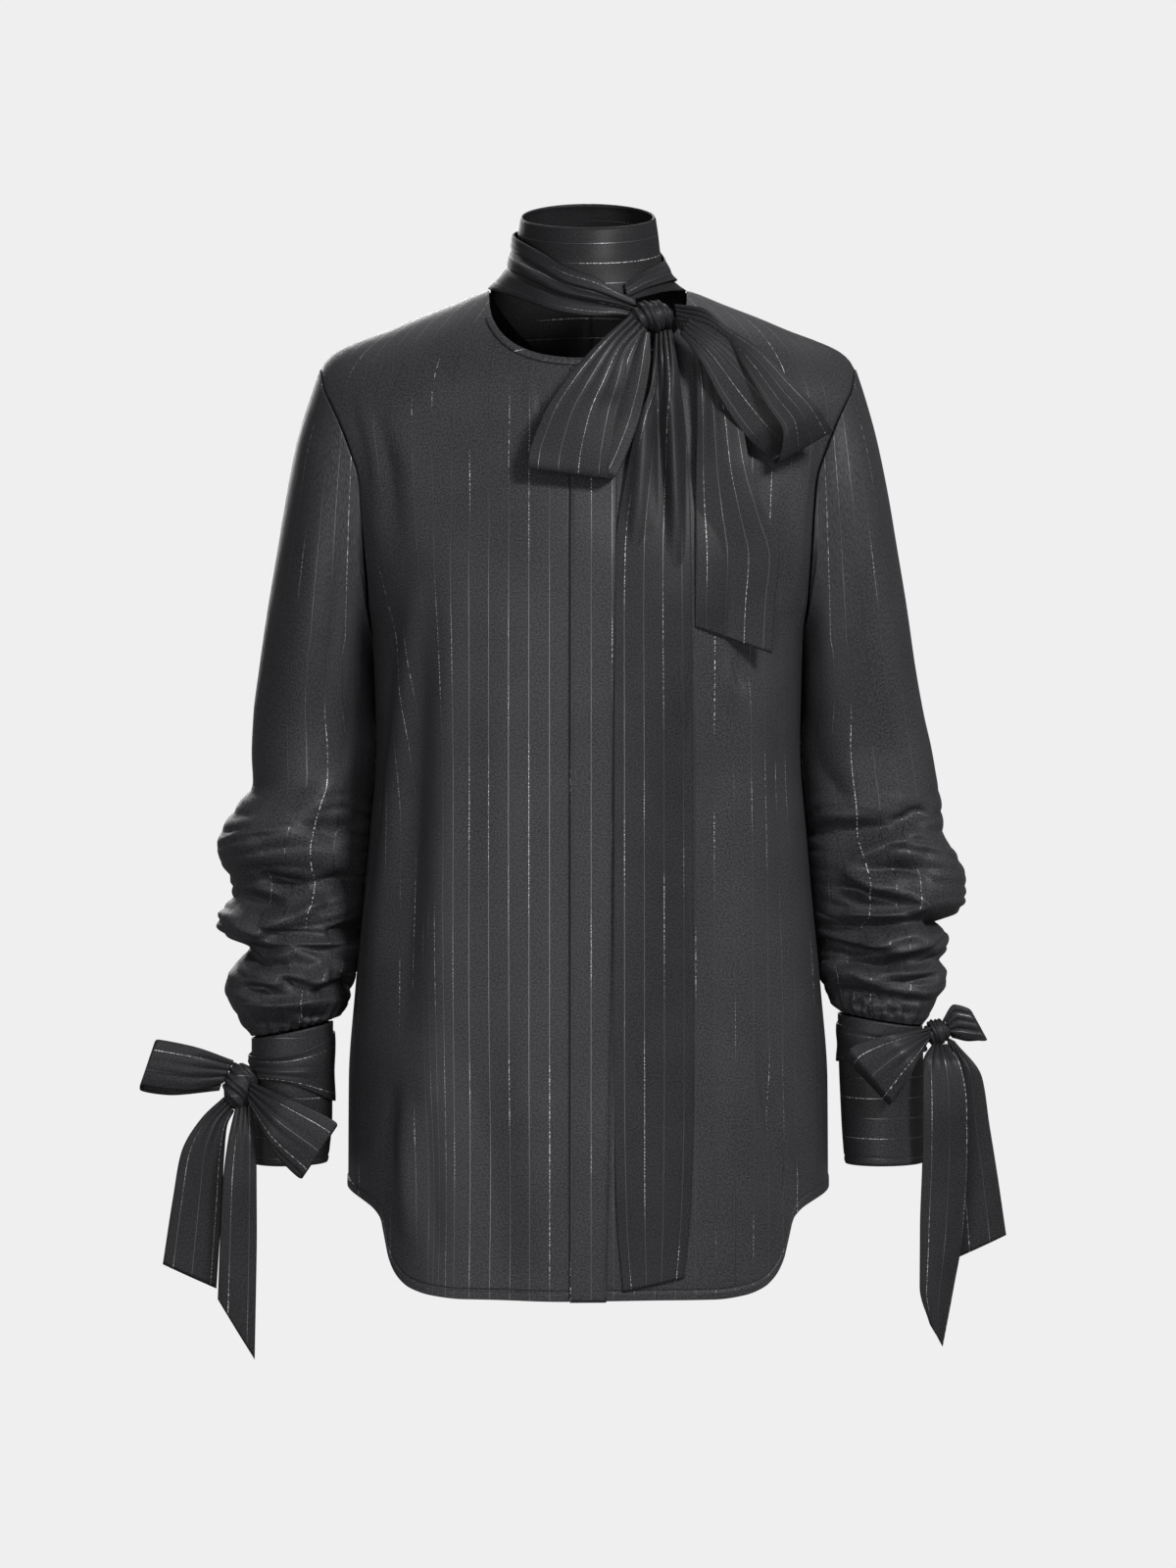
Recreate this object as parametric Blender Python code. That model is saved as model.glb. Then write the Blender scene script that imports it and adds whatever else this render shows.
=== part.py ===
"""A long-sleeve shirt with a tie collar and tied cuffs, worn on a figure that isn't there.

Each cut piece of cloth is a closed wall of its own. A wall starts from a surface, a function of
two parameters, and its second side is the same surface moved inwards by the cloth's thickness.
The front faces -Y, +Z is up, and the origin is the middle of the base of the neck.
The wearer's right side is at -X. Sizes in this file are millimetres, and MM makes them metres.
"""

import bmesh
import bpy
import numpy as np

for old_object in list(bpy.data.objects):
    bpy.data.objects.remove(old_object)

MM = 0.001
QUARTER = np.pi / 2

# The cloth
PANEL_THICKNESS = 1.5
PLACKET_THICKNESS = 2.0
COLLAR_THICKNESS = 2.0
TIE_THICKNESS = 1.2
BINDING_THICKNESS = 1.0
SEAM_GAP = 0.4
LAYER_GAP = 0.6
ARMHOLE_GAP = 1.1

# The body's driving sizes
SQUARENESS = 2.4
SHOULDER_TIP_Z = -58.0
ARMPIT_Z = -265.0
SHOULDER_ROUNDING = 75.0
SHOULDER_SEAM_Y = 8.0
NECK_HALF_WIDTH = 75.0
NECK_POINT_Z = 2.0
FRONT_NECK_Z = -56.0
BACK_NECK_Z = -48.0
PLACKET_STITCH_X = -14.0
PLACKET_EDGE_X = 17.5
UNDERLAP_X = -9.0
LIFT_FROM_X = -85.0
LIFT_RUN = 65.0
BINDING_WIDTH = 5.2
COLLAR_SEAM_POWER = 5

# The grids
ARM_ROWS = 9
LOWER_ROWS = 10


def table(names, *rows):
    """A table whose columns are read by name."""
    return {name: np.array(values, float) for name, values in zip(names.split(), zip(*rows))}


def curve(xs, ys, at):
    """A smooth curve through the points (xs, ys), read at `at`, that never overshoots its points."""
    if xs[0] > xs[-1]:
        xs, ys = xs[::-1], ys[::-1]
    step = np.diff(xs)
    rise = np.diff(ys) / step
    slope = np.concatenate([rise[:1], np.zeros(len(xs) - 2), rise[-1:]])
    same = rise[1:] * rise[:-1] > 0
    both = np.where(same, rise[1:] + rise[:-1], 1.0)
    slope[1:-1] = np.where(same, 2 * rise[1:] * rise[:-1] / both, 0.0)
    at = np.clip(at, xs[0], xs[-1])
    k = np.clip(np.searchsorted(xs, at, side="right") - 1, 0, len(step) - 1)
    t = (at - xs[k]) / step[k]
    start = (1 + 2 * t) * (1 - t) ** 2 * ys[k] + t * (1 - t) ** 2 * step[k] * slope[k]
    end = t * t * (3 - 2 * t) * ys[k + 1] - t * t * (1 - t) * step[k] * slope[k + 1]
    return start + end


def ease(t):
    """0 below 0, 1 above 1, and a soft step between."""
    t = np.clip(t, 0.0, 1.0)
    return t * t * (3 - 2 * t)


# Heights down the body: half its width, and how far its front and back stand from the middle.
# Above the armpit the half width is that of the section before the armhole cuts it.
BODY = table(
    "z half front back",
    (-790, 184, 130, 114),
    (-680, 183.5, 130, 112),
    (-600, 183, 129, 108),
    (-532, 178, 128, 103),
    (-465, 171.5, 128, 99),
    (-420, 167.5, 128, 98),
    (-345, 162, 129, 101),
    (-300, 163, 130, 106),
    (-265, 165, 130, 109),
    (-250, 167.6, 130, 110),
    (-240, 170.8, 129, 111),
    (-225, 174.5, 128, 112),
    (-207, 179, 126, 112),
    (-188, 184, 122, 111),
    (-169, 189, 117, 110),
    (-143, 196, 110, 108),
    (-125, 204, 104, 105),
    (-103, 213.5, 96, 102),
    (-75, 224, 87, 97),
    (-58, 228, 81, 92),
    (-20, 236, 68, 72),
    (25, 240, 50, 55),
)
ARMHOLE = table(
    "z x",
    (-265, 165),
    (-250, 165.5),
    (-225, 166),
    (-207, 167.2),
    (-188, 168.6),
    (-169, 170.6),
    (-143, 174),
    (-125, 179.5),
    (-103, 187),
    (-88, 193.4),
    (-75, 199.5),
    (-58, 203.5),
)
SHOULDER = table(
    "x z",
    (0, 14),
    (75, 2),
    (104, -9),
    (130, -19),
    (154, -29),
    (173, -36),
    (190, -43.5),
    (199, -50.5),
    (203.5, -58),
)
# The shirt tail: the hem's height by the angle round the body, 0 at the middle, in degrees.
HEM = table(
    "angle front back",
    (0, -754, -772),
    (38, -754, -772),
    (46, -752, -769),
    (52, -747.5, -763),
    (56, -740, -755),
    (59, -728, -742),
    (60.8, -712, -724),
    (62.5, -698, -704),
    (67, -690, -691),
    (76, -684, -684),
    (90, -679, -679),
)
# Folds of the body's cloth: from one point to another as the front or back is seen, how far the
# cloth stands out (or in, when negative), and the fold's half width.
FRONT_FOLDS = table(
    "from_x from_z to_x to_z depth width",
    (-182, -100, -158, -185, -3.5, 17),
    (-150, -120, -138, -215, 2.5, 17),
    (-128, -226, -148, -414, 5.0, 13),
    (-110, -330, -118, -640, -3.5, 18),
    (-62, -420, -70, -760, 4.0, 22),
    (178, -105, 158, -200, -3.0, 17),
    (146, -140, 128, -330, 3.0, 17),
    (131, -560, 149, -690, -5.0, 12),
    (104, -430, 112, -760, 4.0, 20),
    (142, -300, 152, -520, 3.0, 14),
)
BACK_FOLDS = table(
    "from_x from_z to_x to_z depth width",
    (-176, -105, -146, -215, -3.0, 17),
    (178, -100, 150, -205, -3.0, 17),
    (-60, -150, -78, -560, 4.0, 22),
    (72, -190, 84, -620, 4.5, 20),
    (8, -330, 4, -765, 4.0, 26),
    (-124, -420, -132, -740, 4.0, 18),
    (132, -380, 138, -720, -4.0, 16),
)


def relief(folds, across, up):
    """How far a set of folds lifts the cloth at a point: a bell across each fold's line."""
    lifted = np.zeros(np.broadcast(across, up).shape)
    lines = zip(*(folds[name] for name in ("from_x", "from_z", "to_x", "to_z", "depth", "width")))
    for from_x, from_z, to_x, to_z, depth, width in lines:
        along_x, along_z = to_x - from_x, to_z - from_z
        length = np.hypot(along_x, along_z)
        share = ((across - from_x) * along_x + (up - from_z) * along_z) / length**2
        share = np.clip(share, 0, 1)
        off = np.hypot(across - from_x - share * along_x, up - from_z - share * along_z)
        ends = 0.35 + 0.65 * np.sin(np.pi * share) ** 0.7
        lifted += depth * ends * np.exp(-((off / width) ** 2))
    return lifted


def body_section(z, back):
    """The half width and the depth of the body's section at a height."""
    depth = np.where(back, curve(BODY["z"], BODY["back"], z), curve(BODY["z"], BODY["front"], z))
    return curve(BODY["z"], BODY["half"], z), depth


def body(angle, z):
    """The body's surface at an angle round it, 0 at the middle of the front, and a height.

    The section is a superellipse, and near the shoulder its depth closes in on the seam."""
    back = np.cos(angle) < 0
    half, depth = body_section(z, back)
    across, along = np.abs(np.sin(angle)), np.abs(np.cos(angle))
    radius = ((across / half) ** SQUARENESS + (along / depth) ** SQUARENESS) ** (-1 / SQUARENESS)
    folds = np.where(
        back,
        relief(BACK_FOLDS, radius * np.sin(angle), z),
        relief(FRONT_FOLDS, radius * np.sin(angle), z),
    )
    flare = 3.0 * ease((-380 - z) / 380) * np.cos(angle * 8 + 0.6) * across * along * 2
    radius = radius + (folds + flare) * ease((SHOULDER_TIP_Z - z) / 40)
    x, y = radius * np.sin(angle), -radius * np.cos(angle)
    below = np.clip((curve(SHOULDER["x"], SHOULDER["z"], np.abs(x)) - z) / SHOULDER_ROUNDING, 0, 1)
    over = (1 - (1 - below) ** 2.2) ** (1 / 2.2)
    return np.stack([x, SHOULDER_SEAM_Y + (y - SHOULDER_SEAM_Y) * over, z + 0 * x], axis=-1)


def angle_at(x, z, back=False):
    """The angle round the body at which its surface has this x."""
    half, depth = body_section(z, back)
    ratio = np.clip(np.abs(x) / half, 0, 1)
    away = depth * (1 - ratio**SQUARENESS) ** (1 / SQUARENESS)
    angle = np.arctan2(x, away)
    return np.pi - angle if back else angle


def side_angle(z, back):
    """The angle of a panel's side edge from the middle: the side seam, then the armhole."""
    x = curve(ARMHOLE["z"], ARMHOLE["x"], z)
    half, depth = body_section(z, back)
    ratio = np.clip(x / half, 0, 1)
    cut = np.arctan2(x, depth * (1 - ratio**SQUARENESS) ** (1 / SQUARENESS))
    return np.where(z > ARMPIT_Z, cut, QUARTER)


def front_neck(x):
    """The height of the front neckline, a scoop that ends at the neck points."""
    share = np.clip(np.abs(x) / NECK_HALF_WIDTH, 0, 1)
    return NECK_POINT_Z - (NECK_POINT_Z - FRONT_NECK_Z) * (1 - share**2.6) ** (1 / 2.6)


def back_neck(x):
    """The height of the back neckline, where the collar is sewn on."""
    share = np.clip(np.abs(x) / NECK_HALF_WIDTH, 0, 1)
    return BACK_NECK_Z + (NECK_POINT_Z - BACK_NECK_Z) * share**2.2


def top_line(x, back):
    """The height of a panel's top edge: the neckline, then the shoulder seam."""
    neck = back_neck(x) if back else front_neck(x)
    shoulder = curve(SHOULDER["x"], SHOULDER["z"], np.abs(x))
    return np.where(np.abs(x) < NECK_HALF_WIDTH, neck, shoulder)


def panel(shares, side, inner_x, back):
    """The angles and heights of a body panel's grid.

    Columns run from the line x = inner_x (share 0) to the side seam and armhole (share 1), and
    rows run from the top edge to the armpit's level and from there to the hem."""

    def angle(share, z):
        start = angle_at(inner_x, z) if inner_x else 0.0
        return start + share * (side_angle(z, back) - start)

    def across(share, z):
        turned = angle(share, z)
        half, depth = body_section(z, back)
        wide, deep = np.abs(np.sin(turned)) / half, np.abs(np.cos(turned)) / depth
        radius = (wide**SQUARENESS + deep**SQUARENESS) ** (-1 / SQUARENESS)
        return radius * np.sin(turned)

    shares = np.array(shares, float)
    signs = np.where(shares < 0, -1.0, 1.0)
    plain = np.abs(shares)
    low, high = np.full(len(shares), -120.0), np.full(len(shares), 20.0)
    for _ in range(40):
        middle = (low + high) / 2
        above = top_line(across(plain, middle), back) > middle
        low, high = np.where(above, middle, low), np.where(above, high, middle)
    top = np.where(plain == 1, SHOULDER_TIP_Z, low)
    turned = np.degrees(angle(plain, np.full(len(shares), -740.0)))
    hem = curve(HEM["angle"], HEM["back" if back else "front"], np.abs(turned))
    arm = (1 - np.cos(np.pi * np.arange(ARM_ROWS + 1) / ARM_ROWS)) / 2
    lower = np.arange(1, LOWER_ROWS + 1) / LOWER_ROWS
    upper_z = top[:, None] + (ARMPIT_Z - top[:, None]) * arm
    lower_z = ARMPIT_Z + (hem[:, None] - ARMPIT_Z) * lower
    z = np.concatenate([upper_z, lower_z], axis=1)
    turned = angle(plain[:, None], z) * signs[:, None] * side
    return (np.pi - turned if back else turned), z


def wall(name, surface, a, b, thickness, lift=0.0, steps=(0.002, 0.2), closed=False, out=1, move=None):
    """One piece of cloth as a closed body: a surface's grid and the same grid moved inwards.

    a and b are the grid's parameters, lift moves it out along the surface's own normal, and out
    is -1 where that normal points inwards."""
    a, b = np.broadcast_arrays(a, b)
    along_a = surface(a + steps[0], b) - surface(a - steps[0], b)
    along_b = surface(a, b + steps[1]) - surface(a, b - steps[1])
    normal = np.cross(along_a, along_b) * out
    normal /= np.linalg.norm(normal, axis=-1, keepdims=True)
    lift = np.broadcast_to(lift, a.shape)[..., None]
    outer = surface(a, b) + normal * lift
    if move is not None:
        outer = outer + np.array(move, float)
    inner = outer - normal * thickness
    rows, columns = a.shape
    points = np.concatenate([outer.reshape(-1, 3), inner.reshape(-1, 3)]) * MM
    count = rows * columns
    number = np.arange(count).reshape(rows, columns)
    faces = []

    def strip(first, second):
        """Faces between two rows of point numbers."""
        for i in range(len(first) - 1):
            faces.append((first[i], first[i + 1], second[i + 1], second[i]))

    wrapped = np.concatenate([number, number[:1]]) if closed else number
    for i in range(len(wrapped) - 1):
        strip(wrapped[i], wrapped[i + 1])
        strip(wrapped[i + 1] + count, wrapped[i] + count)
    for edge in (0, -1):
        strip(wrapped[:, edge], wrapped[:, edge] + count)
        if not closed:
            strip(number[edge], number[edge] + count)
    return solid(name, points, faces)


def solid(name, points, faces):
    """A closed mesh object with its faces turned outwards."""
    mesh = bpy.data.meshes.new(name)
    mesh.from_pydata(points.tolist(), [], [tuple(int(i) for i in face) for face in faces])
    shape = bmesh.new()
    shape.from_mesh(mesh)
    bmesh.ops.recalc_face_normals(shape, faces=shape.faces)
    shape.to_mesh(mesh)
    shape.free()
    mesh.shade_smooth()
    made = bpy.data.objects.new(name, mesh)
    bpy.context.scene.collection.objects.link(made)
    made.data.materials.append(satin(name))
    return made


def satin(name):
    """Black satin, a material for each piece."""
    material = bpy.data.materials.new(name + "_satin")
    material.use_nodes = True
    shader = material.node_tree.nodes["Principled BSDF"]
    shader.inputs["Base Color"].default_value = (0.018, 0.018, 0.020, 1)
    shader.inputs["Roughness"].default_value = 0.42
    shader.inputs["Metallic"].default_value = 0.0
    return material


# The back, the two fronts and the strip that hides the buttons

BACK_HALF = np.array([0, 0.12, 0.25, 0.37, 0.47, 0.55, 0.61, 0.655, 0.69, 0.74, 0.85, 1])
BACK_SHARES = np.concatenate([-BACK_HALF[:0:-1], BACK_HALF])
FRONT_SHARES = np.array([0, 0.09, 0.19, 0.3, 0.41, 0.5, 0.575, 0.625, 0.66, 0.69, 0.74, 0.81, 0.9, 1])

back_angle, back_z = panel(BACK_SHARES, 1, 0, True)
wall("back", body, back_angle, back_z, PANEL_THICKNESS, move=(0, SEAM_GAP / 2, 0))


def placket_lift(x):
    """How far the front that lies on top is raised near the closing."""
    raised = PLACKET_THICKNESS + LAYER_GAP
    return raised * ease((x - LIFT_FROM_X) / LIFT_RUN)


right_angle, right_z = panel(FRONT_SHARES, -1, -PLACKET_STITCH_X, False)
right_x = body(right_angle, right_z)[..., 0]
wall(
    "front_right",
    body,
    right_angle,
    right_z,
    PANEL_THICKNESS,
    lift=placket_lift(right_x),
    move=(0, -SEAM_GAP / 2, 0),
)

left_angle, left_z = panel(FRONT_SHARES, 1, UNDERLAP_X, False)
wall("front_left", body, left_angle, left_z, PANEL_THICKNESS, move=(0, -SEAM_GAP / 2, 0))


def front_at(x, z):
    """The front's surface by the x and z of a point on it."""
    return body(angle_at(x, z), z)


placket_x = np.linspace(PLACKET_STITCH_X + SEAM_GAP, PLACKET_EDGE_X, 4)[:, None]
share_down = np.linspace(0, 1, ARM_ROWS + LOWER_ROWS)[None, :]
placket_z = front_neck(placket_x) + (HEM["front"][0] - front_neck(placket_x)) * share_down
wall(
    "placket",
    front_at,
    placket_x,
    placket_z,
    PLACKET_THICKNESS,
    lift=PLACKET_THICKNESS + LAYER_GAP,
    steps=(0.2, 0.2),
    move=(0, -SEAM_GAP / 2, 0),
)


def binding(name, from_share, to_share, lift):
    """The bias strip along the front neckline, laid on the panel beside the edge."""
    reach = np.linspace(from_share, to_share, 15)[:, None]
    edge_x = -NECK_HALF_WIDTH * np.cos(np.pi * reach)
    edge_z = front_neck(edge_x)
    near = 0.004
    ahead_x = -NECK_HALF_WIDTH * np.cos(np.pi * (reach + near))
    behind_x = -NECK_HALF_WIDTH * np.cos(np.pi * (reach - near))
    run_x, run_z = ahead_x - behind_x, front_neck(ahead_x) - front_neck(behind_x)
    length = np.hypot(run_x, run_z)
    width = np.linspace(0, BINDING_WIDTH, 2)[None, :]
    x = edge_x + run_z / length * width
    z = edge_z - run_x / length * width
    raised = lift(x) + LAYER_GAP + BINDING_THICKNESS
    wall(
        name,
        front_at,
        x,
        z,
        BINDING_THICKNESS,
        lift=raised,
        steps=(0.2, 0.2),
        move=(0, -SEAM_GAP / 2, 0),
    )


binding_split = float(np.arccos(-(PLACKET_EDGE_X + 1) / NECK_HALF_WIDTH) / np.pi)
binding("neck_binding_right", 0.09, binding_split - 0.012, placket_lift)
binding("neck_binding_left", binding_split + 0.002, 0.91, lambda x: 0 * x)


# The sleeves
# A row is a ring round the arm. It runs from its outer point to its inner one beside the body,
# and stands before and behind the line between them by front and back. The first is the armhole.
SLEEVE_RIGHT = table(
    "outer_x outer_z inner_x inner_z front back",
    (203.5, -58, 165, -265, 62, 62),
    (211, -80, 166.5, -271, 66, 66),
    (219, -105, 167.5, -278, 67, 67),
    (228, -150, 167.5, -290, 66, 65),
    (236, -195, 167, -303, 64, 62),
    (244, -240, 166.5, -318, 61, 59),
    (251, -285, 164.5, -333, 58, 56),
    (256, -322, 162.8, -348, 55, 53),
    (257.5, -352, 163, -364, 53, 51),
    (256.5, -374, 164.4, -379, 52, 50),
    (266, -389, 165.4, -392, 54, 50),
    (278, -407, 166.6, -408, 59, 53),
    (283, -423, 167.8, -423, 60, 54),
    (280, -436, 169, -436, 55, 51),
    (272, -450, 170.2, -450, 48, 47),
    (273, -462, 171.4, -462, 50, 47),
    (281, -474, 172.6, -474, 56, 52),
    (283, -484, 173.6, -484, 58, 53),
    (275, -492, 174.6, -492, 52, 49),
    (260, -500, 175.6, -500, 45, 44),
    (267, -511, 177, -511, 50, 46),
    (275, -522, 178.8, -521, 57, 51),
    (277, -533, 180.6, -531, 56, 52),
    (273, -545, 183, -541, 49, 47),
    (266, -557, 185.5, -550, 42, 38),
    (260, -568, 192.5, -555.5, 36, 28),
)
SLEEVE_LEFT = table(
    "outer_x outer_z inner_x inner_z front back",
    (203.5, -58, 165, -265, 62, 62),
    (210, -78, 166.5, -271, 66, 66),
    (217.5, -105, 167.5, -278, 67, 67),
    (227, -150, 167.5, -290, 66, 65),
    (235, -195, 167, -303, 64, 62),
    (243, -240, 166.5, -318, 61, 59),
    (250, -285, 164.5, -333, 58, 56),
    (257, -322, 162.8, -348, 55, 53),
    (263, -348, 163, -364, 53, 51),
    (267.5, -374, 164.4, -379, 53, 50),
    (271, -396, 165.8, -397, 54, 50),
    (272, -416, 167.2, -415, 52, 50),
    (281, -431, 168.5, -430, 56, 52),
    (289, -446, 169.8, -444, 60, 54),
    (289, -462, 171, -458, 58, 54),
    (282, -475, 172.2, -470, 52, 50),
    (268, -482, 173, -478, 46, 46),
    (275, -491, 174, -487, 52, 48),
    (274, -501, 175.2, -496, 54, 49),
    (268, -510, 176.4, -505, 47, 46),
    (274, -519, 178, -514, 52, 49),
    (273, -529, 179.8, -524, 52, 47),
    (267, -539, 182.5, -533, 46, 42),
    (261, -550, 184.5, -542, 38, 34),
    (258, -559, 189.5, -549, 34, 28),
)
# Folds of a sleeve: from one point to another, by the angle round the arm (0 outside, 90 in
# front, 180 beside the body) and the height, with the depth and half width of the fold.
SLEEVE_FOLDS_RIGHT = table(
    "from_x from_z to_x to_z depth width",
    (128, -150, 142, -300, -6, 12),
    (70, -120, 95, -330, 3, 14),
    (35, -447, 150, -452, -7, 7),
    (30, -466, 105, -465, -5, 5),
    (45, -496, 130, -488, -6, 6),
    (30, -534, 140, -532, -7, 6),
    (250, -430, 330, -445, -6, 8),
    (215, -478, 300, -470, -6, 7),
    (240, -515, 340, -520, -6, 7),
    (250, -140, 235, -300, -5, 13),
)
SLEEVE_FOLDS_LEFT = table(
    "from_x from_z to_x to_z depth width",
    (128, -150, 142, -300, -6, 12),
    (72, -130, 92, -320, 3, 14),
    (60, -412, 150, -408, -5, 8),
    (35, -444, 100, -449, -7, 7),
    (60, -483, 150, -482, -6, 6),
    (55, -497, 140, -495, -8, 6),
    (40, -526, 110, -527, -6, 6),
    (245, -425, 330, -440, -6, 8),
    (215, -470, 300, -476, -6, 7),
    (240, -508, 340, -512, -6, 7),
    (250, -140, 235, -300, -5, 13),
)
# How far the arm's middle lies in front of (negative) or behind the body's middle, ring by ring
ARM_SWAY = table("ring y", (0, 0), (4, 8), (8, 19), (13, 16), (19, 4), (25, -6))
WRIST_Y = -6.0
ARM_RADIUS = 45.0


def armhole(turn, side):
    """The armhole's seam: 0 at the shoulder, a quarter turn at the front, half at the armpit."""
    middle, half = (SHOULDER_TIP_Z + ARMPIT_Z) / 2, (SHOULDER_TIP_Z - ARMPIT_Z) / 2
    z = middle + half * np.cos(turn)
    in_back = np.sin(turn) < 0
    angle = np.where(in_back, np.pi - side_angle(z, True), side_angle(z, False))
    point = body(angle, z)
    point[..., 1] += np.where(in_back, 1, -1) * np.minimum(1, np.abs(np.sin(turn)) * 9) * SEAM_GAP / 2
    return point


def sleeve(rings, folds):
    """A sleeve's surface by the turn round the arm and the ring's number down it."""
    number = np.arange(len(rings["front"]))

    def plain(turn, down):
        values = {name: curve(number, column, down) for name, column in rings.items()}
        round_x, round_y = np.cos(turn), np.sin(turn)
        middle_x = (values["outer_x"] + values["inner_x"]) / 2
        middle_z = (values["outer_z"] + values["inner_z"]) / 2
        x = middle_x + (values["outer_x"] - values["inner_x"]) / 2 * round_x
        z = middle_z + (values["outer_z"] - values["inner_z"]) / 2 * round_x
        depth = np.where(round_y > 0, values["front"], values["back"])
        sway = curve(ARM_SWAY["ring"], ARM_SWAY["y"], down)
        return np.stack([x, sway - depth * round_y, z], axis=-1)

    def surface(turn, down):
        turn, down = np.broadcast_arrays(np.asarray(turn, float), np.asarray(down, float))
        point = plain(turn, down)
        to_seam = armhole(turn, 1) - plain(turn, 0 * down)
        point = point + to_seam * (np.clip(1 - down / 3.5, 0, 1) ** 2)[..., None]
        degrees = np.degrees(turn) % 360
        arc = degrees * np.radians(ARM_RADIUS)
        in_arc = dict(folds)
        in_arc["from_x"] = folds["from_x"] * np.radians(ARM_RADIUS)
        in_arc["to_x"] = folds["to_x"] * np.radians(ARM_RADIUS)
        lifted = relief(in_arc, arc, point[..., 2]) * ease(down / 2)
        out = np.stack([np.cos(turn), -np.sin(turn), 0 * turn], axis=-1)
        return point + out * lifted[..., None] + np.array([ARMHOLE_GAP, 0, 0])

    return surface


def mirrored(surface, side):
    """The same surface for the wearer's left (side 1) or right (side -1)."""
    return lambda a, b: surface(a, b) * np.array([side, 1, 1])


# The cuffs
CUFF_RIGHT = table(
    "outer_x outer_z inner_x inner_z front back",
    (257.5, -568.8, 195, -556.3, 31.6, 27),
    (257, -600, 195, -592, 31, 27),
    (256.5, -630, 195.5, -628, 31, 28),
    (256.5, -665, 199, -664, 31, 29),
)
CUFF_LEFT = table(
    "outer_x outer_z inner_x inner_z front back",
    (256, -559.8, 191, -549.8, 31.6, 27),
    (256.5, -595, 191.5, -588, 31, 27),
    (257, -630, 193.5, -628, 31, 28),
    (257.5, -664, 196.5, -665, 31, 29),
)


def cuff(rings):
    """A cuff's surface by the turn round the wrist and the ring's number down it."""
    number = np.arange(len(rings["front"]))

    def surface(turn, down):
        values = {name: curve(number, column, down) for name, column in rings.items()}
        share = (1 + np.cos(turn)) / 2
        x = values["inner_x"] + (values["outer_x"] - values["inner_x"]) * share
        z = values["inner_z"] + (values["outer_z"] - values["inner_z"]) * share
        depth = np.where(np.sin(turn) > 0, values["front"], values["back"])
        return np.stack([x, WRIST_Y - depth * np.sin(turn), z], axis=-1)

    return surface


sleeve_turns = np.linspace(0, 2 * np.pi, 2 * ARM_ROWS + 1)[:-1, None]
cuff_turns = np.linspace(0, 2 * np.pi, 17)[:-1, None]
SIDES = (
    ("right", -1, SLEEVE_RIGHT, SLEEVE_FOLDS_RIGHT, CUFF_RIGHT),
    ("left", 1, SLEEVE_LEFT, SLEEVE_FOLDS_LEFT, CUFF_LEFT),
)
for word, side, rings, folds, cuff_rings in SIDES:
    arm = mirrored(sleeve(rings, folds), side)
    downs = np.arange(len(rings["front"]))[None, :]
    out = 1 if side > 0 else -1
    wall("sleeve_" + word, arm, sleeve_turns, downs, PANEL_THICKNESS, out=out, closed=True)
    wrist = mirrored(cuff(cuff_rings), side)
    cuff_downs = np.arange(len(cuff_rings["front"]))[None, :]
    wall("cuff_" + word, wrist, cuff_turns, cuff_downs, PLACKET_THICKNESS, out=out, closed=True)


# The collar
# Heights up the neck: half its width, and how far its front and back stand from its middle.
NECK_MIDDLE_Y = 8.0
NECK = table(
    "z half front back",
    (-50, 70, 76, 79),
    (-20, 66, 74, 73),
    (2, 60.5, 72, 68),
    (9, 58.5, 71, 66.5),
    (22, 55.5, 69, 63),
    (31, 54.5, 67, 61),
    (43, 53.5, 65, 57),
    (56, 52, 62, 54),
    (76, 49, 60, 49),
)
RIM_Z = 59.0
RIM_TILT = 14.0
COLLAR_FRONT_Z = 7.0


def neck(angle, z):
    """The neck's surface at an angle, 0 at the front and a quarter turn at +X, and a height."""
    half, front, back = (curve(NECK["z"], NECK[name], z) for name in ("half", "front", "back"))
    depth = np.where(np.cos(angle) > 0, front, back)
    x, y = half * np.sin(angle), NECK_MIDDLE_Y - depth * np.cos(angle)
    return np.stack([x, y, z + 0 * angle], axis=-1)


def collar_edge(angle):
    """The collar's lower edge: the back neck seam, then free from one neck point to the other."""
    x = NECK_HALF_WIDTH * np.sin(angle)
    seam_z = back_neck(x)
    seam = body(angle_at(x, seam_z, True), seam_z) + np.array([0, SEAM_GAP, SEAM_GAP])
    free_z = NECK_POINT_Z + SEAM_GAP + (COLLAR_FRONT_Z - NECK_POINT_Z) * np.cos(angle) ** 2
    free = neck(angle, free_z)
    to_point = NECK_HALF_WIDTH / curve(NECK["z"], NECK["half"], NECK_POINT_Z)
    free[..., 0] *= 1 + (to_point - 1) * np.abs(np.sin(angle)) ** 9
    return np.where((np.cos(angle) < 0)[..., None], seam, free)


def collar_top(angle):
    """The height of the collar's rim, which leans forward."""
    return RIM_Z - RIM_TILT * np.cos(angle)


def collar(angle, z):
    """The collar's surface: the neck's, drawn out to the seam near its lower edge."""
    angle, z = np.broadcast_arrays(angle, z)
    edge = collar_edge(angle)
    share = np.clip((z - edge[..., 2]) / (collar_top(angle) - edge[..., 2]), 0, 1)
    pull = (edge - neck(angle, edge[..., 2])) * ((1 - share) ** COLLAR_SEAM_POWER)[..., None]
    pull[..., 2] = 0
    return neck(angle, z) + pull


collar_angles = np.radians(np.linspace(0, 360, 29))[:-1, None]
low_z = collar_edge(collar_angles)[..., 2]
collar_z = low_z + (collar_top(collar_angles) - low_z) * np.array([0, 0.12, 0.3, 0.62, 1])
wall("collar_band", collar, collar_angles, collar_z, COLLAR_THICKNESS, closed=True)

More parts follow.
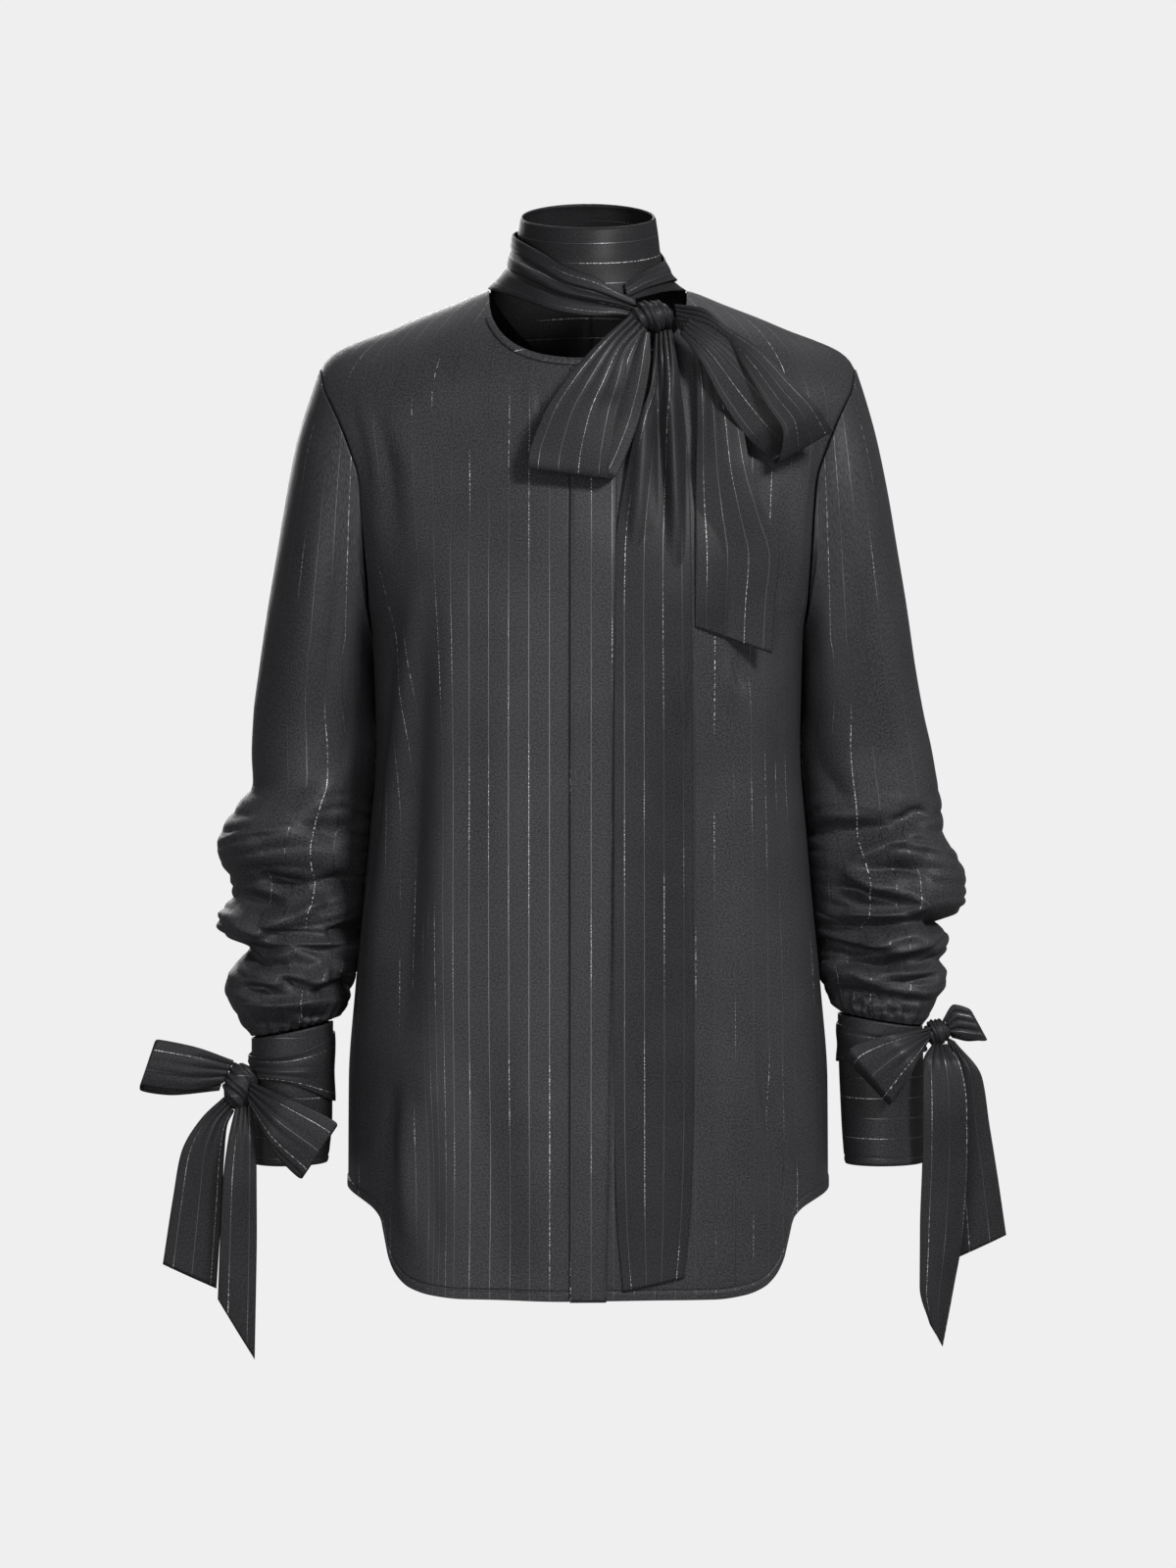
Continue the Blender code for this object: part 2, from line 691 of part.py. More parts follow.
# The tie, wound round the collar from under the knot, round the back and down across the front.
# Angles are in degrees from the front, through +X; out is the distance from the collar.
TIE_WRAP = table(
    "angle top low out",
    (26, 3, -8, 2.0),
    (50, 15, 2, 2.0),
    (90, 27, 10, 2.0),
    (135, 47, 2, 2.0),
    (180, 54, -6, 2.0),
    (225, 52, -4, 2.2),
    (270, 46, 4, 3.2),
    (300, 37, -4, 4.2),
    (325, 26, -13, 4.8),
    (345, 14, -20, 5.6),
    (365, 6, -23, 6.6),
    (378, -3, -22, 7.6),
    (388, -10, -24, 11.6),
)


def tie_wrap(angle, across):
    """The wound tie's surface by the angle and the share from its upper to its lower edge."""
    degrees = np.degrees(angle)
    top, low, out = (curve(TIE_WRAP["angle"], TIE_WRAP[name], degrees) for name in ("top", "low", "out"))
    z = top + (low - top) * across
    point = collar(angle, z)
    away = point - np.array([0, NECK_MIDDLE_Y, 0])
    away[..., 2] = 0
    away /= np.linalg.norm(away, axis=-1, keepdims=True)
    crease = 1.6 * np.cos(across * 4 * np.pi) * ease((degrees - 250) / 60)
    return point + away * (out + TIE_THICKNESS / 2 + np.abs(crease))[..., None]


wrap_angles = np.radians(np.linspace(TIE_WRAP["angle"][0], TIE_WRAP["angle"][-1], 37))[:, None]
wrap_across = np.linspace(0, 1, 5)[None, :]
wall("tie_wrap", tie_wrap, wrap_angles, wrap_across, TIE_THICKNESS, steps=(0.01, 0.01), out=-1)


# The knots: where each is, its half sizes, and how far its wraps lean
KNOTS = {
    "tie": ((47.8, -80.5, -23.6), (18, 14, 12.5), 0.5),
    "right": ((-264.5, -29, -603.5), (14, 11.5, 19), -0.6),
    "left": ((265.8, -22, -563.5), (11, 10.5, 10.5), 0.4),
}
KNOT_GAP = -0.3


def knot(name, centre, half, lean):
    """A knot: a ball of cloth with slanting wraps round it, closed at its two ends."""
    turns = np.linspace(0, 2 * np.pi, 15)[:-1, None]
    along = np.linspace(0, np.pi, 8)[None, 1:-1]
    wraps = 1 - 0.05 * (1 + np.cos(2 * turns + 3 * along * (1 + lean)))
    ring = np.sin(along) * wraps
    x = -np.cos(along) + 0 * turns
    y, z = ring * np.cos(turns), ring * np.sin(turns)
    lean_x, lean_z = x + 0.2 * lean * z, z - lean * 0.35 * x * ring
    points = np.stack([lean_x, y, lean_z], axis=-1).reshape(-1, 3) / 1.06
    ends = np.array([[-0.96, 0, 0], [0.96, 0, 0]])
    points = (np.concatenate([points, ends]) * np.array(half) + np.array(centre)) * MM
    rows, columns = ring.shape
    number = np.arange(rows * columns).reshape(rows, columns)
    faces = []
    for i in range(rows):
        after = number[(i + 1) % rows]
        for j in range(columns - 1):
            faces.append((number[i, j], number[i, j + 1], after[j + 1], after[j]))
        faces.append((rows * columns, number[i, 0], after[0]))
        faces.append((rows * columns + 1, after[-1], number[i, -1]))
    return solid(name, points, faces)


def clear_of(points, centre, half, gap):
    """The points, with those inside a knot moved straight out to its surface."""
    away = points - np.array(centre)
    size = np.linalg.norm(away / (np.array(half) + gap), axis=-1, keepdims=True)
    return np.where(size < 1, np.array(centre) + away / np.maximum(size, 0.05), points)


def ribbon(rows, knot_name, waves=2.5, above=None):
    """A tie's surface by the row down its table and the share across from edge a to edge b.

    Pleats are waves across the ribbon that fade as the table says. above lays it on the front:
    no point is nearer the cloth there than this."""
    number = np.arange(len(rows["y"]))
    centre, half, _ = KNOTS[knot_name]

    def surface(down, across):
        values = {name: curve(number, column, down) for name, column in rows.items()}
        x = values["a_x"] + (values["b_x"] - values["a_x"]) * across
        z = values["a_z"] + (values["b_z"] - values["a_z"]) * across
        wave = np.cos(2 * np.pi * waves * across)
        y = values["y"] - values["pleat"] * wave
        if above is not None:
            y = np.minimum(y, front_at(x, z)[..., 1] - above - values["pleat"] * (1 + wave))
        return clear_of(np.stack([x, y, z], axis=-1), centre, half, TIE_THICKNESS / 2 + KNOT_GAP)

    return surface


TIE_LOOP_RIGHT = table(
    "a_x a_z b_x b_z y pleat",
    (32, -22.5, 44, -34.5, -90, 2),
    (8.5, -44, 30.5, -52.5, -101, 2.5),
    (-14.5, -70, 26, -76.5, -114, 2),
    (-32.5, -97.5, 21.5, -96, -124, 1.5),
    (-43.5, -126.5, 16, -132.5, -130, 1),
    (-45, -138, 15, -146, -127, 0.5),
    (-43, -135, 20.5, -143.5, -119, 0.5),
    (-22, -102.5, 38.5, -99, -109, 1),
    (0, -65.5, 46.5, -54, -100, 1),
    (29, -32.5, 46, -36, -93, 1),
)
TIE_LOOP_LEFT = table(
    "a_x a_z b_x b_z y pleat",
    (64.5, -15, 66, -27, -86, 1),
    (84, -18, 86, -34, -95, 1.5),
    (103, -33, 103.5, -44, -101, 2),
    (127.5, -49.5, 116.5, -64.5, -109, 1),
    (151, -73.5, 132, -91, -113, 0),
    (168.5, -91, 144.5, -113, -111, 0),
    (182, -109.5, 140, -134, -101, 0),
    (176, -109, 136, -131, -93, 0),
    (157, -91, 117, -113.5, -103, 0),
    (131, -65.5, 99, -87.5, -105, 0),
    (100.5, -40, 83, -57, -101, 0),
    (74.5, -25.5, 68.5, -37.5, -92, 0),
)
TIE_TAIL_LONG = table(
    "a_x a_z b_x b_z y pleat",
    (50, -35, 62.5, -33.5, -82, 2.5),
    (47, -72.5, 68.5, -74, -92, 4),
    (36.5, -104.5, 72, -106, -103, 4),
    (29, -138.5, 75, -139, -113, 3.5),
    (20, -197.5, 76, -197.5, -122, 2.5),
    (19, -255.5, 76.5, -255.5, -122, 1.5),
    (19, -342, 77.5, -342, -122, 1),
    (19, -443, 78, -443, -122, 1),
    (19, -587.5, 78.5, -587.5, -122, 1),
    (21, -685, 76, -685, -122, 1),
    (26, -747.5, 71, -737.5, -122, 1),
)
TIE_TAIL_SHORT = table(
    "a_x a_z b_x b_z y pleat",
    (62.5, -24.5, 70, -28, -78, 1),
    (73, -41.5, 89.5, -43, -88, 3),
    (79, -54, 98, -55, -90, 3.5),
    (81, -77, 108, -78.5, -95, 3),
    (81, -101.5, 114, -102, -100, 2),
    (80, -136.5, 120.5, -137.5, -110, 1.5),
    (79.5, -170.5, 131.5, -171, -112, 1),
    (79.5, -203.5, 142, -204.5, -112, 0.8),
    (79.5, -236.5, 138.5, -238, -112, 0.6),
    (79.5, -255, 136.5, -275, -112, 0.5),
)
CUFF_LOOP_OUTER_RIGHT = table(
    "a_x a_z b_x b_z y pleat",
    (-269, -584, -277, -601, -35, 1),
    (-297.5, -572.5, -303.5, -605.5, -46, 1),
    (-325, -567, -338.5, -601.5, -46, 0),
    (-328.5, -572, -339.5, -606, -40, 0),
    (-308.5, -580.5, -316, -610.5, -33, 0),
    (-275, -590, -280, -607, -33, 0),
)
CUFF_LOOP_INNER_RIGHT = table(
    "a_x a_z b_x b_z y pleat",
    (-256, -600, -258.5, -614, -38, 1),
    (-221.5, -612.5, -239, -645, -57, 1),
    (-189.5, -629.5, -215.5, -669, -57, 0),
    (-191.5, -633, -218, -672, -50, 0),
    (-218.5, -623, -237, -653.5, -47, 0),
    (-254, -605, -256, -616, -36, 0),
)
CUFF_TAIL_SHORT_RIGHT = table(
    "a_x a_z b_x b_z y pleat",
    (-276.5, -612, -269, -622.5, -31, 1),
    (-294, -628.5, -274.5, -634.5, -30, 1.5),
    (-309.5, -654.5, -277, -658.5, -28, 1),
    (-316.5, -691, -279, -694.5, -25, 0.5),
    (-324.5, -741, -283.5, -759.5, -22, 0),
)
CUFF_TAIL_LONG_RIGHT = table(
    "a_x a_z b_x b_z y pleat",
    (-266.5, -615, -255.5, -617, -33, 1),
    (-273, -644.5, -252, -646.5, -40, 1.5),
    (-276.5, -670.5, -251.5, -672, -40, 1),
    (-279, -708, -251.5, -711.5, -38, 0.5),
    (-281.5, -766, -253.5, -812, -35, 0),
)
CUFF_LOOP_OUTER_LEFT = table(
    "a_x a_z b_x b_z y pleat",
    (269.5, -555, 276.5, -564, -25, 0.5),
    (278.5, -542, 287, -568.5, -26, 0.5),
    (289, -545, 302, -570, -25, 0),
    (292.5, -548.5, 304, -569.5, -19, 0),
    (282, -547, 290.5, -571, -15, 0),
    (272.5, -559, 277.5, -568, -18, 0),
)
CUFF_LOOP_INNER_LEFT = table(
    "a_x a_z b_x b_z y pleat",
    (261, -559, 259.5, -568, -30, 0.5),
    (225, -563, 243.5, -591, -56, 1),
    (198, -572.5, 230.5, -612.5, -57, 0),
    (194, -580.5, 228, -616, -50, 0),
    (218.5, -579.5, 240, -601.5, -47, 0),
    (257, -563, 257, -570, -31, 0),
)
CUFF_TAIL_LONG_LEFT = table(
    "a_x a_z b_x b_z y pleat",
    (262, -572, 272.5, -572, -29, 1.5),
    (254, -585, 282.5, -587, -41, 3),
    (253.5, -618, 287.5, -618, -44, 2),
    (253.5, -654.5, 288, -654.5, -42, 1),
    (252, -711, 285, -711, -40, 0.5),
    (252, -755, 277.5, -758, -38, 0.3),
    (260, -784.5, 269.5, -801.5, -37, 0),
)
CUFF_TAIL_SHORT_LEFT = table(
    "a_x a_z b_x b_z y pleat",
    (274, -567.5, 279, -570.5, -22, 0.5),
    (274.5, -593.5, 300, -597.5, -23, 1.5),
    (275.5, -634.5, 306, -634.5, -23, 1),
    (278.5, -671.5, 312, -671.5, -23, 0.5),
    (283, -735.5, 319, -718.5, -22, 0),
)

TIE_LIFT = 1.4
# Each ribbon: its table, its knot, the grid's rows and columns, how far it stays from the front
RIBBONS = {
    "tie_loop_right": (TIE_LOOP_RIGHT, "tie", 19, 6, 4.0),
    "tie_loop_left": (TIE_LOOP_LEFT, "tie", 19, 6, 4.0),
    "tie_tail_long": (TIE_TAIL_LONG, "tie", 24, 8, TIE_LIFT),
    "tie_tail_short": (TIE_TAIL_SHORT, "tie", 14, 7, TIE_LIFT),
    "cuff_loop_outer_right": (CUFF_LOOP_OUTER_RIGHT, "right", 12, 4, None),
    "cuff_loop_inner_right": (CUFF_LOOP_INNER_RIGHT, "right", 12, 4, None),
    "cuff_tail_short_right": (CUFF_TAIL_SHORT_RIGHT, "right", 8, 5, None),
    "cuff_tail_long_right": (CUFF_TAIL_LONG_RIGHT, "right", 8, 5, None),
    "cuff_loop_outer_left": (CUFF_LOOP_OUTER_LEFT, "left", 12, 4, None),
    "cuff_loop_inner_left": (CUFF_LOOP_INNER_LEFT, "left", 12, 4, None),
    "cuff_tail_long_left": (CUFF_TAIL_LONG_LEFT, "left", 8, 6, None),
    "cuff_tail_short_left": (CUFF_TAIL_SHORT_LEFT, "left", 8, 5, None),
}
for name, (rows, knot_name, down_count, across_count, above) in RIBBONS.items():
    downs = np.linspace(0, len(rows["y"]) - 1, down_count)[:, None]
    across = np.linspace(0, 1, across_count)[None, :]
    surface = ribbon(rows, knot_name, above=above)
    wall(name, surface, downs, across, TIE_THICKNESS, lift=TIE_THICKNESS / 2, steps=(0.01, 0.01))

knot("tie_knot", *KNOTS["tie"])
knot("cuff_knot_right", *KNOTS["right"])
knot("cuff_knot_left", *KNOTS["left"])


# The tie's turn round each cuff, narrow at the knot and spread opposite it
WRAP_GAP = 0.9
CUFF_WRAPS = {
    "right": (CUFF_RIGHT, -1, 0.62, -591.0, 9.0, 27.0),
    "left": (CUFF_LEFT, 1, 0.62, -572.0, 7.0, 15.0),
}
for word, (rings, side, knot_turn, middle, narrow, wide) in CUFF_WRAPS.items():
    wrist = mirrored(cuff(rings), side)

    def cuff_wrap(turn, across, wrist=wrist, knot_turn=knot_turn, middle=middle, narrow=narrow, wide=wide):
        spread = narrow + (wide - narrow) * ease((1 - np.cos(turn - knot_turn)) / 2)
        z = middle + spread * (1 - 2 * across)
        point = wrist(turn, 1 + 0 * across)
        point[..., 2] = z
        return point

    turns = np.linspace(0, 2 * np.pi, 17)[:-1, None]
    wall(
        "cuff_wrap_" + word,
        cuff_wrap,
        turns,
        np.linspace(0, 1, 4)[None, :],
        TIE_THICKNESS,
        lift=TIE_THICKNESS + WRAP_GAP,
        steps=(0.01, 0.01),
        closed=True,
        out=1 if side > 0 else -1,
    )
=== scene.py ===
"""A black pinstriped satin shirt with a tied neck and tied cuffs, worn by nobody.

The file goes piece by piece, in the order the shirt is put together. Lengths are millimetres
until MM makes them metres. The wearer's right side is at -X, and the front faces -Y.
"""

import bpy
import numpy as np
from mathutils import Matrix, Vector


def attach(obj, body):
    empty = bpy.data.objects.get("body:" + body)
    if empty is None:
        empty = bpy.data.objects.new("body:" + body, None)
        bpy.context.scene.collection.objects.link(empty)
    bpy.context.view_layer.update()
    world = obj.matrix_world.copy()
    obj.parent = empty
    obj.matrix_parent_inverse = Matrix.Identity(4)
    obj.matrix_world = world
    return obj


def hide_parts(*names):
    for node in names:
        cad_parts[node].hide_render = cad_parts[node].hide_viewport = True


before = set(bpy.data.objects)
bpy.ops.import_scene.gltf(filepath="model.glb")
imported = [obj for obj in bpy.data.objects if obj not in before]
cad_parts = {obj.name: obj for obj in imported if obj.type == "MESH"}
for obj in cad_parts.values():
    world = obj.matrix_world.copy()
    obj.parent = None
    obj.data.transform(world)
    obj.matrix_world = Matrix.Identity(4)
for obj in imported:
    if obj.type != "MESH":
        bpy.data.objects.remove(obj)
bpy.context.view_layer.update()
MM = 0.001

# The studio
# A pale seamless floor that runs up into the walls, a large key light from the upper right,
# soft white cards round the sides, and the camera level with the chest.

camera = bpy.data.objects.new("camera", bpy.data.cameras.new("camera"))
bpy.context.scene.collection.objects.link(camera)
camera.data.sensor_width = 36
camera.data.lens = 108.05
camera.location = (0, -3.6, -0.2625)
camera.rotation_euler = (np.pi / 2 - np.arctan2(0.375 - 0.2625, 3.6), 0, 0)
bpy.context.scene.camera = camera
bpy.context.scene.view_settings.view_transform = "Standard"


def mesh_object(name, points, faces):
    """An object in the scene whose mesh has these points, in metres, and faces."""
    mesh = bpy.data.meshes.new(name)
    mesh.from_pydata(points.reshape(-1, 3).tolist(), [], faces)
    made = bpy.data.objects.new(name, mesh)
    bpy.context.scene.collection.objects.link(made)
    return made


def seamless(name, bottom, top, radius):
    """A room turned from one profile: a flat floor, a rounded corner, a wall and a dome."""
    corner = np.linspace(0, np.pi / 2, 12)
    dome = np.linspace(0, np.pi / 2, 14)
    flat = np.linspace(0.001, 0.72, 12) * radius
    bend = radius * 0.28
    across = np.concatenate([flat, radius - bend + bend * np.sin(corner), radius * np.cos(dome)])
    corner_up, dome_up = bottom + bend * (1 - np.cos(corner)), top + radius * 0.5 * np.sin(dome)
    up = np.concatenate([0 * flat + bottom, corner_up, dome_up])
    turn = np.linspace(0, 2 * np.pi, 65)[:-1, None]
    points = np.stack([across * np.cos(turn), across * np.sin(turn), up + 0 * turn], axis=-1)
    number = np.arange(points.shape[0] * points.shape[1]).reshape(points.shape[:2])
    number = np.concatenate([number, number[:1]])
    quads = [number[1:, :-1], number[1:, 1:], number[:-1, 1:], number[:-1, :-1]]
    middles = [number[-2::-1, 0].tolist(), number[:-1, -1].tolist()]
    made = mesh_object(name, points, np.stack(quads, axis=-1).reshape(-1, 4).tolist() + middles)
    made.data.shade_smooth()
    return made


floor = seamless("floor", -1.2, 3.0, 9.0)
paper = bpy.data.materials.new("pale_paper")
paper.use_nodes = True
paper_shader = paper.node_tree.nodes["Principled BSDF"]
paper_shader.inputs["Base Color"].default_value = (0, 0, 0, 1)
paper_shader.inputs["Specular IOR Level"].default_value = 0
paper_shader.inputs["Emission Color"].default_value = (0.8632, 0.8632, 0.8632, 1)
paper_shader.inputs["Emission Strength"].default_value = 1.0
floor.data.materials.append(paper)
floor.visible_diffuse = False
floor.visible_glossy = False
floor.visible_shadow = False
floor.visible_transmission = False


def softbox(name, place, aim, size, power):
    """A rectangular light of this size at a place, turned to face a point."""
    light = bpy.data.lights.new(name, "AREA")
    light.shape = "RECTANGLE"
    light.size, light.size_y = size
    light.energy = power
    lamp = bpy.data.objects.new(name, light)
    bpy.context.scene.collection.objects.link(lamp)
    lamp.location = place
    lamp.rotation_euler = (Vector(aim) - Vector(place)).to_track_quat("-Z", "Y").to_euler()
    return lamp


softbox("key_light", (2.8, -4.0, 2.7), (0, 0, -0.4), (1.25, 1.25), 260)
softbox("left_card", (-1.5, -3.6, -0.3), (0, 0, -0.45), (1.6, 2.0), 46)
softbox("low_card", (0, -2.2, -0.55), (0, 0.05, -0.03), (0.5, 0.3), 5)
softbox("back_card", (-0.8, 4.0, 0.9), (0, 0, -0.4), (2.2, 2.2), 130)
softbox("right_card", (2.8, -0.2, -0.1), (0, 0, -0.4), (1.0, 2.2), 6)
softbox("top_card", (0.0, 1.2, 1.8), (0, 0, -0.3), (2.0, 1.0), 12)

world = bpy.data.worlds.new("studio_air")
bpy.context.scene.world = world
world.use_nodes = True
air = world.node_tree
direction = air.nodes.new("ShaderNodeTexCoord")
parts = air.nodes.new("ShaderNodeSeparateXYZ")
behind = air.nodes.new("ShaderNodeMapRange")
behind.inputs["From Min"].default_value = -0.75
behind.inputs["From Max"].default_value = 0.35
behind.inputs["To Min"].default_value = 0.02
behind.inputs["To Max"].default_value = 0.16
air.links.new(direction.outputs["Generated"], parts.inputs[0])
air.links.new(parts.outputs["Y"], behind.inputs["Value"])
air.links.new(behind.outputs[0], air.nodes["Background"].inputs["Strength"])
air.nodes["Background"].inputs["Color"].default_value = (1, 1, 1.02, 1)


# The back and the two fronts
# Black satin panels with fine metallic pinstripes running down. Each is cut as one piece from
# the shoulder to a shirt-tail hem, hangs loosely and is joined at the shoulders and the sides.

PANEL_CLOTH = 0.9
SQUARENESS = 2.4  # the power of the body's rounded section, 2 on an ellipse
SHOULDER_TIP_Z = -58.0
SHOULDER_ROUNDING = 75.0
SHOULDER_SEAM_Y = 8.0
ARMPIT_Z = -265.0
NECK_HALF_WIDTH = 75.0
NECK_POINT_Z = 2.0
FRONT_NECK_Z = -56.0
BACK_NECK_Z = -48.0
PLACKET_STITCH_X = -14.0
PLACKET_RISE = 2.6
UNDERLAP_X = -22.0
STRIPE_PITCH = 15.35
STRIPE_START = -13.0
HEM_WIDTH = 6.5
STITCH_PITCH = 2.8


def table(names, *rows):
    """A table whose columns are read by name."""
    return {name: np.array(values, float) for name, values in zip(names.split(), zip(*rows))}


def curve(xs, ys, at):
    """A smooth curve through the points (xs, ys), read at `at`, that never overshoots them."""
    if xs[0] > xs[-1]:
        xs, ys = xs[::-1], ys[::-1]
    step = np.diff(xs)
    rise = np.diff(ys) / step
    slope = np.concatenate([rise[:1], np.zeros(len(xs) - 2), rise[-1:]])
    same = rise[1:] * rise[:-1] > 0
    both = np.where(same, rise[1:] + rise[:-1], 1.0)
    slope[1:-1] = np.where(same, 2 * rise[1:] * rise[:-1] / both, 0.0)
    at = np.clip(at, xs[0], xs[-1])
    k = np.clip(np.searchsorted(xs, at, side="right") - 1, 0, len(step) - 1)
    t = (at - xs[k]) / step[k]
    start = (1 + 2 * t) * (1 - t) ** 2 * ys[k] + t * (1 - t) ** 2 * step[k] * slope[k]
    end = t * t * (3 - 2 * t) * ys[k + 1] - t * t * (1 - t) * step[k] * slope[k + 1]
    return start + end


def ease(t):
    """0 below 0, 1 above 1, and a soft step between."""
    t = np.clip(t, 0.0, 1.0)
    return t * t * (3 - 2 * t)


# By height, the body's half width and its depth before and behind the middle. Then the armhole's
# x by height, the shoulder line's height by x, and the hem's by the angle from a panel's middle.
BODY = table(
    "z half front back",
    (-790, 184, 130, 114), (-680, 183.5, 130, 112), (-600, 183, 129, 108), (-532, 178, 128, 103),
    (-465, 171.5, 128, 99), (-420, 167.5, 128, 98), (-345, 162, 129, 101), (-300, 163, 130, 106),
    (-265, 165, 130, 109), (-250, 167.6, 129.6, 110), (-240, 170.8, 129.1, 111),
    (-225, 174.5, 128, 112), (-207, 179, 126, 112), (-188, 184, 122.6, 111),
    (-169, 189, 117.8, 110), (-143, 196, 110, 108), (-125, 204, 104, 105), (-103, 213.5, 96, 102),
    (-75, 224, 87, 97), (-58, 228, 81, 92), (-20, 236, 68, 72), (25, 240, 50, 55),
)
ARMHOLE = table(
    "z x",
    (-265, 165), (-250, 165.5), (-225, 166), (-207, 167.2), (-188, 168.6), (-169, 170.6),
    (-143, 174), (-125, 179.5), (-103, 187), (-88, 193.4), (-75, 199.5), (-58, 203.5),
)
SHOULDER = table(
    "x z",
    (0, 14), (75, 2), (104, -9), (130, -19), (154, -29), (173, -36), (190, -43.5), (199, -50.5),
    (203.5, -58),
)
HEM = table(
    "angle front back",
    (0, -754, -772), (38, -754, -772), (46, -752, -769), (52, -747.5, -763), (56, -740, -755),
    (59, -728, -742), (60.8, -712, -724), (62.5, -698, -704), (67, -690, -691), (76, -684, -684),
    (90, -679, -679),
)
# Folds: a line through three points of the cloth as it is seen from the front or the back, how far
# the cloth stands out there (in, when negative) and the fold's half width.
FRONT_FOLDS = table(
    "ax az bx bz cx cz depth width",
    (-181, -70, -173, -110, -160, -173, -3.5, 9), (-176, -76, -164, -132, -154, -215, 3.0, 9),
    (-160, -92, -152, -136, -141, -186, -3.0, 10), (-146, -81, -136, -139, -132, -197, 2.2, 12),
    (-104, -226, -109, -371, -113, -560, 4.0, 15), (-113, -560, -119, -625, -125, -698, 2.5, 14),
    (-121, -284, -130, -415, -139, -560, -5.0, 12), (-128, -223, -144, -357, -168, -567, 6.0, 9),
    (-146, -255, -157, -357, -165, -466, -4.0, 10), (-135, -603, -136, -654, -133, -712, 4.0, 8),
    (-145, -596, -149, -640, -146, -690, -4.0, 8), (-117, -603, -116, -661, -112, -726, -3.0, 10),
    (-188, -103, -123, -154, -44, -212, -2.5, 26), (-130, -96, -72, -132, 0, -197, 2.0, 24),
    (-99, -545, -80, -625, -61, -743, -2.2, 20), (-58, -516, -40, -625, -29, -734, 2.0, 22),
    (-72, -255, -64, -386, -67, -516, 1.6, 24), (-40, -74, -35, -103, -32, -125, -2.0, 5),
    (-51, -61, -41, -81, -37, -104, 1.6, 6), (184, -75, 175, -132, 161, -197, -3.0, 9),
    (168, -103, 160, -168, 154, -241, 3.0, 8), (151, -154, 145, -212, 143, -284, -2.6, 8),
    (130, -132, 128, -168, 129, -197, -2.0, 7), (109, -273, 111, -286, 115, -303, -3.5, 4),
    (104, -276, 104, -292, 106, -313, 2.0, 6), (122, -284, 128, -386, 135, -487, 2.4, 18),
    (124, -560, 135, -616, 149, -690, -4.0, 4.5), (130, -560, 142, -618, 154, -687, 2.5, 8),
    (110, -299, 114, -444, 119, -734, 2.6, 14), (94, -299, 93, -444, 96, -734, -2.6, 12),
    (145, -299, 143, -386, 145, -487, -2.2, 14), (72, -81, 116, -154, 152, -197, -2.0, 20),
)
BACK_FOLDS = table(
    "ax az bx bz cx cz depth width",
    (-186, -80, -168, -130, -146, -225, -4.0, 10), (-170, -85, -156, -150, -138, -260, 3.0, 10),
    (186, -84, 170, -126, 150, -215, -4.0, 9), (176, -80, 158, -150, 136, -270, 3.0, 11),
    (-72, -120, -84, -360, -96, -700, 4.0, 20), (-44, -210, -50, -420, -52, -760, -3.5, 22),
    (-10, -160, -14, -420, -4, -765, 4.0, 22), (38, -240, 34, -480, 40, -765, -4.0, 20),
    (74, -150, 88, -400, 96, -740, 4.5, 18), (-118, -260, -128, -480, -134, -720, -4.0, 14),
    (-146, -300, -150, -470, -156, -680, 4.0, 12), (118, -300, 130, -500, 134, -720, -4.5, 13),
    (146, -290, 154, -480, 152, -690, 3.5, 12), (-120, -96, -40, -150, 60, -190, -2.0, 24),
    (130, -110, 60, -160, -20, -240, 1.8, 22),
)


def relief(folds, across, up):
    """How far folds lift the cloth at a point: a bell across each line, fading to both its ends.

    The line has two straight runs, and the point takes the nearer one."""
    lifted = np.zeros(np.broadcast(across, up).shape)
    columns = [folds[name] for name in ("ax", "az", "bx", "bz", "cx", "cz", "depth", "width")]
    for ax, az, bx, bz, cx, cz, depth, width in zip(*columns):
        first, second = np.hypot(bx - ax, bz - az), np.hypot(cx - bx, cz - bz)
        share_1 = np.clip(((across - ax) * (bx - ax) + (up - az) * (bz - az)) / first**2, 0, 1)
        share_2 = np.clip(((across - bx) * (cx - bx) + (up - bz) * (cz - bz)) / second**2, 0, 1)
        off_1 = np.hypot(across - ax - share_1 * (bx - ax), up - az - share_1 * (bz - az))
        off_2 = np.hypot(across - bx - share_2 * (cx - bx), up - bz - share_2 * (cz - bz))
        reached = np.where(off_1 < off_2, share_1 * first, first + share_2 * second)
        along = reached / (first + second)
        off = np.minimum(off_1, off_2)
        ends = 0.15 + 0.85 * np.sin(np.pi * along) ** 0.8
        lifted += depth * ends * np.exp(-((off / width) ** (2 if depth > 0 else 1.5)))
    return lifted


def body_section(z, back):
    """The half width and the depth of the body's section at a height."""
    depth = np.where(back, curve(BODY["z"], BODY["back"], z), curve(BODY["z"], BODY["front"], z))
    return curve(BODY["z"], BODY["half"], z), depth


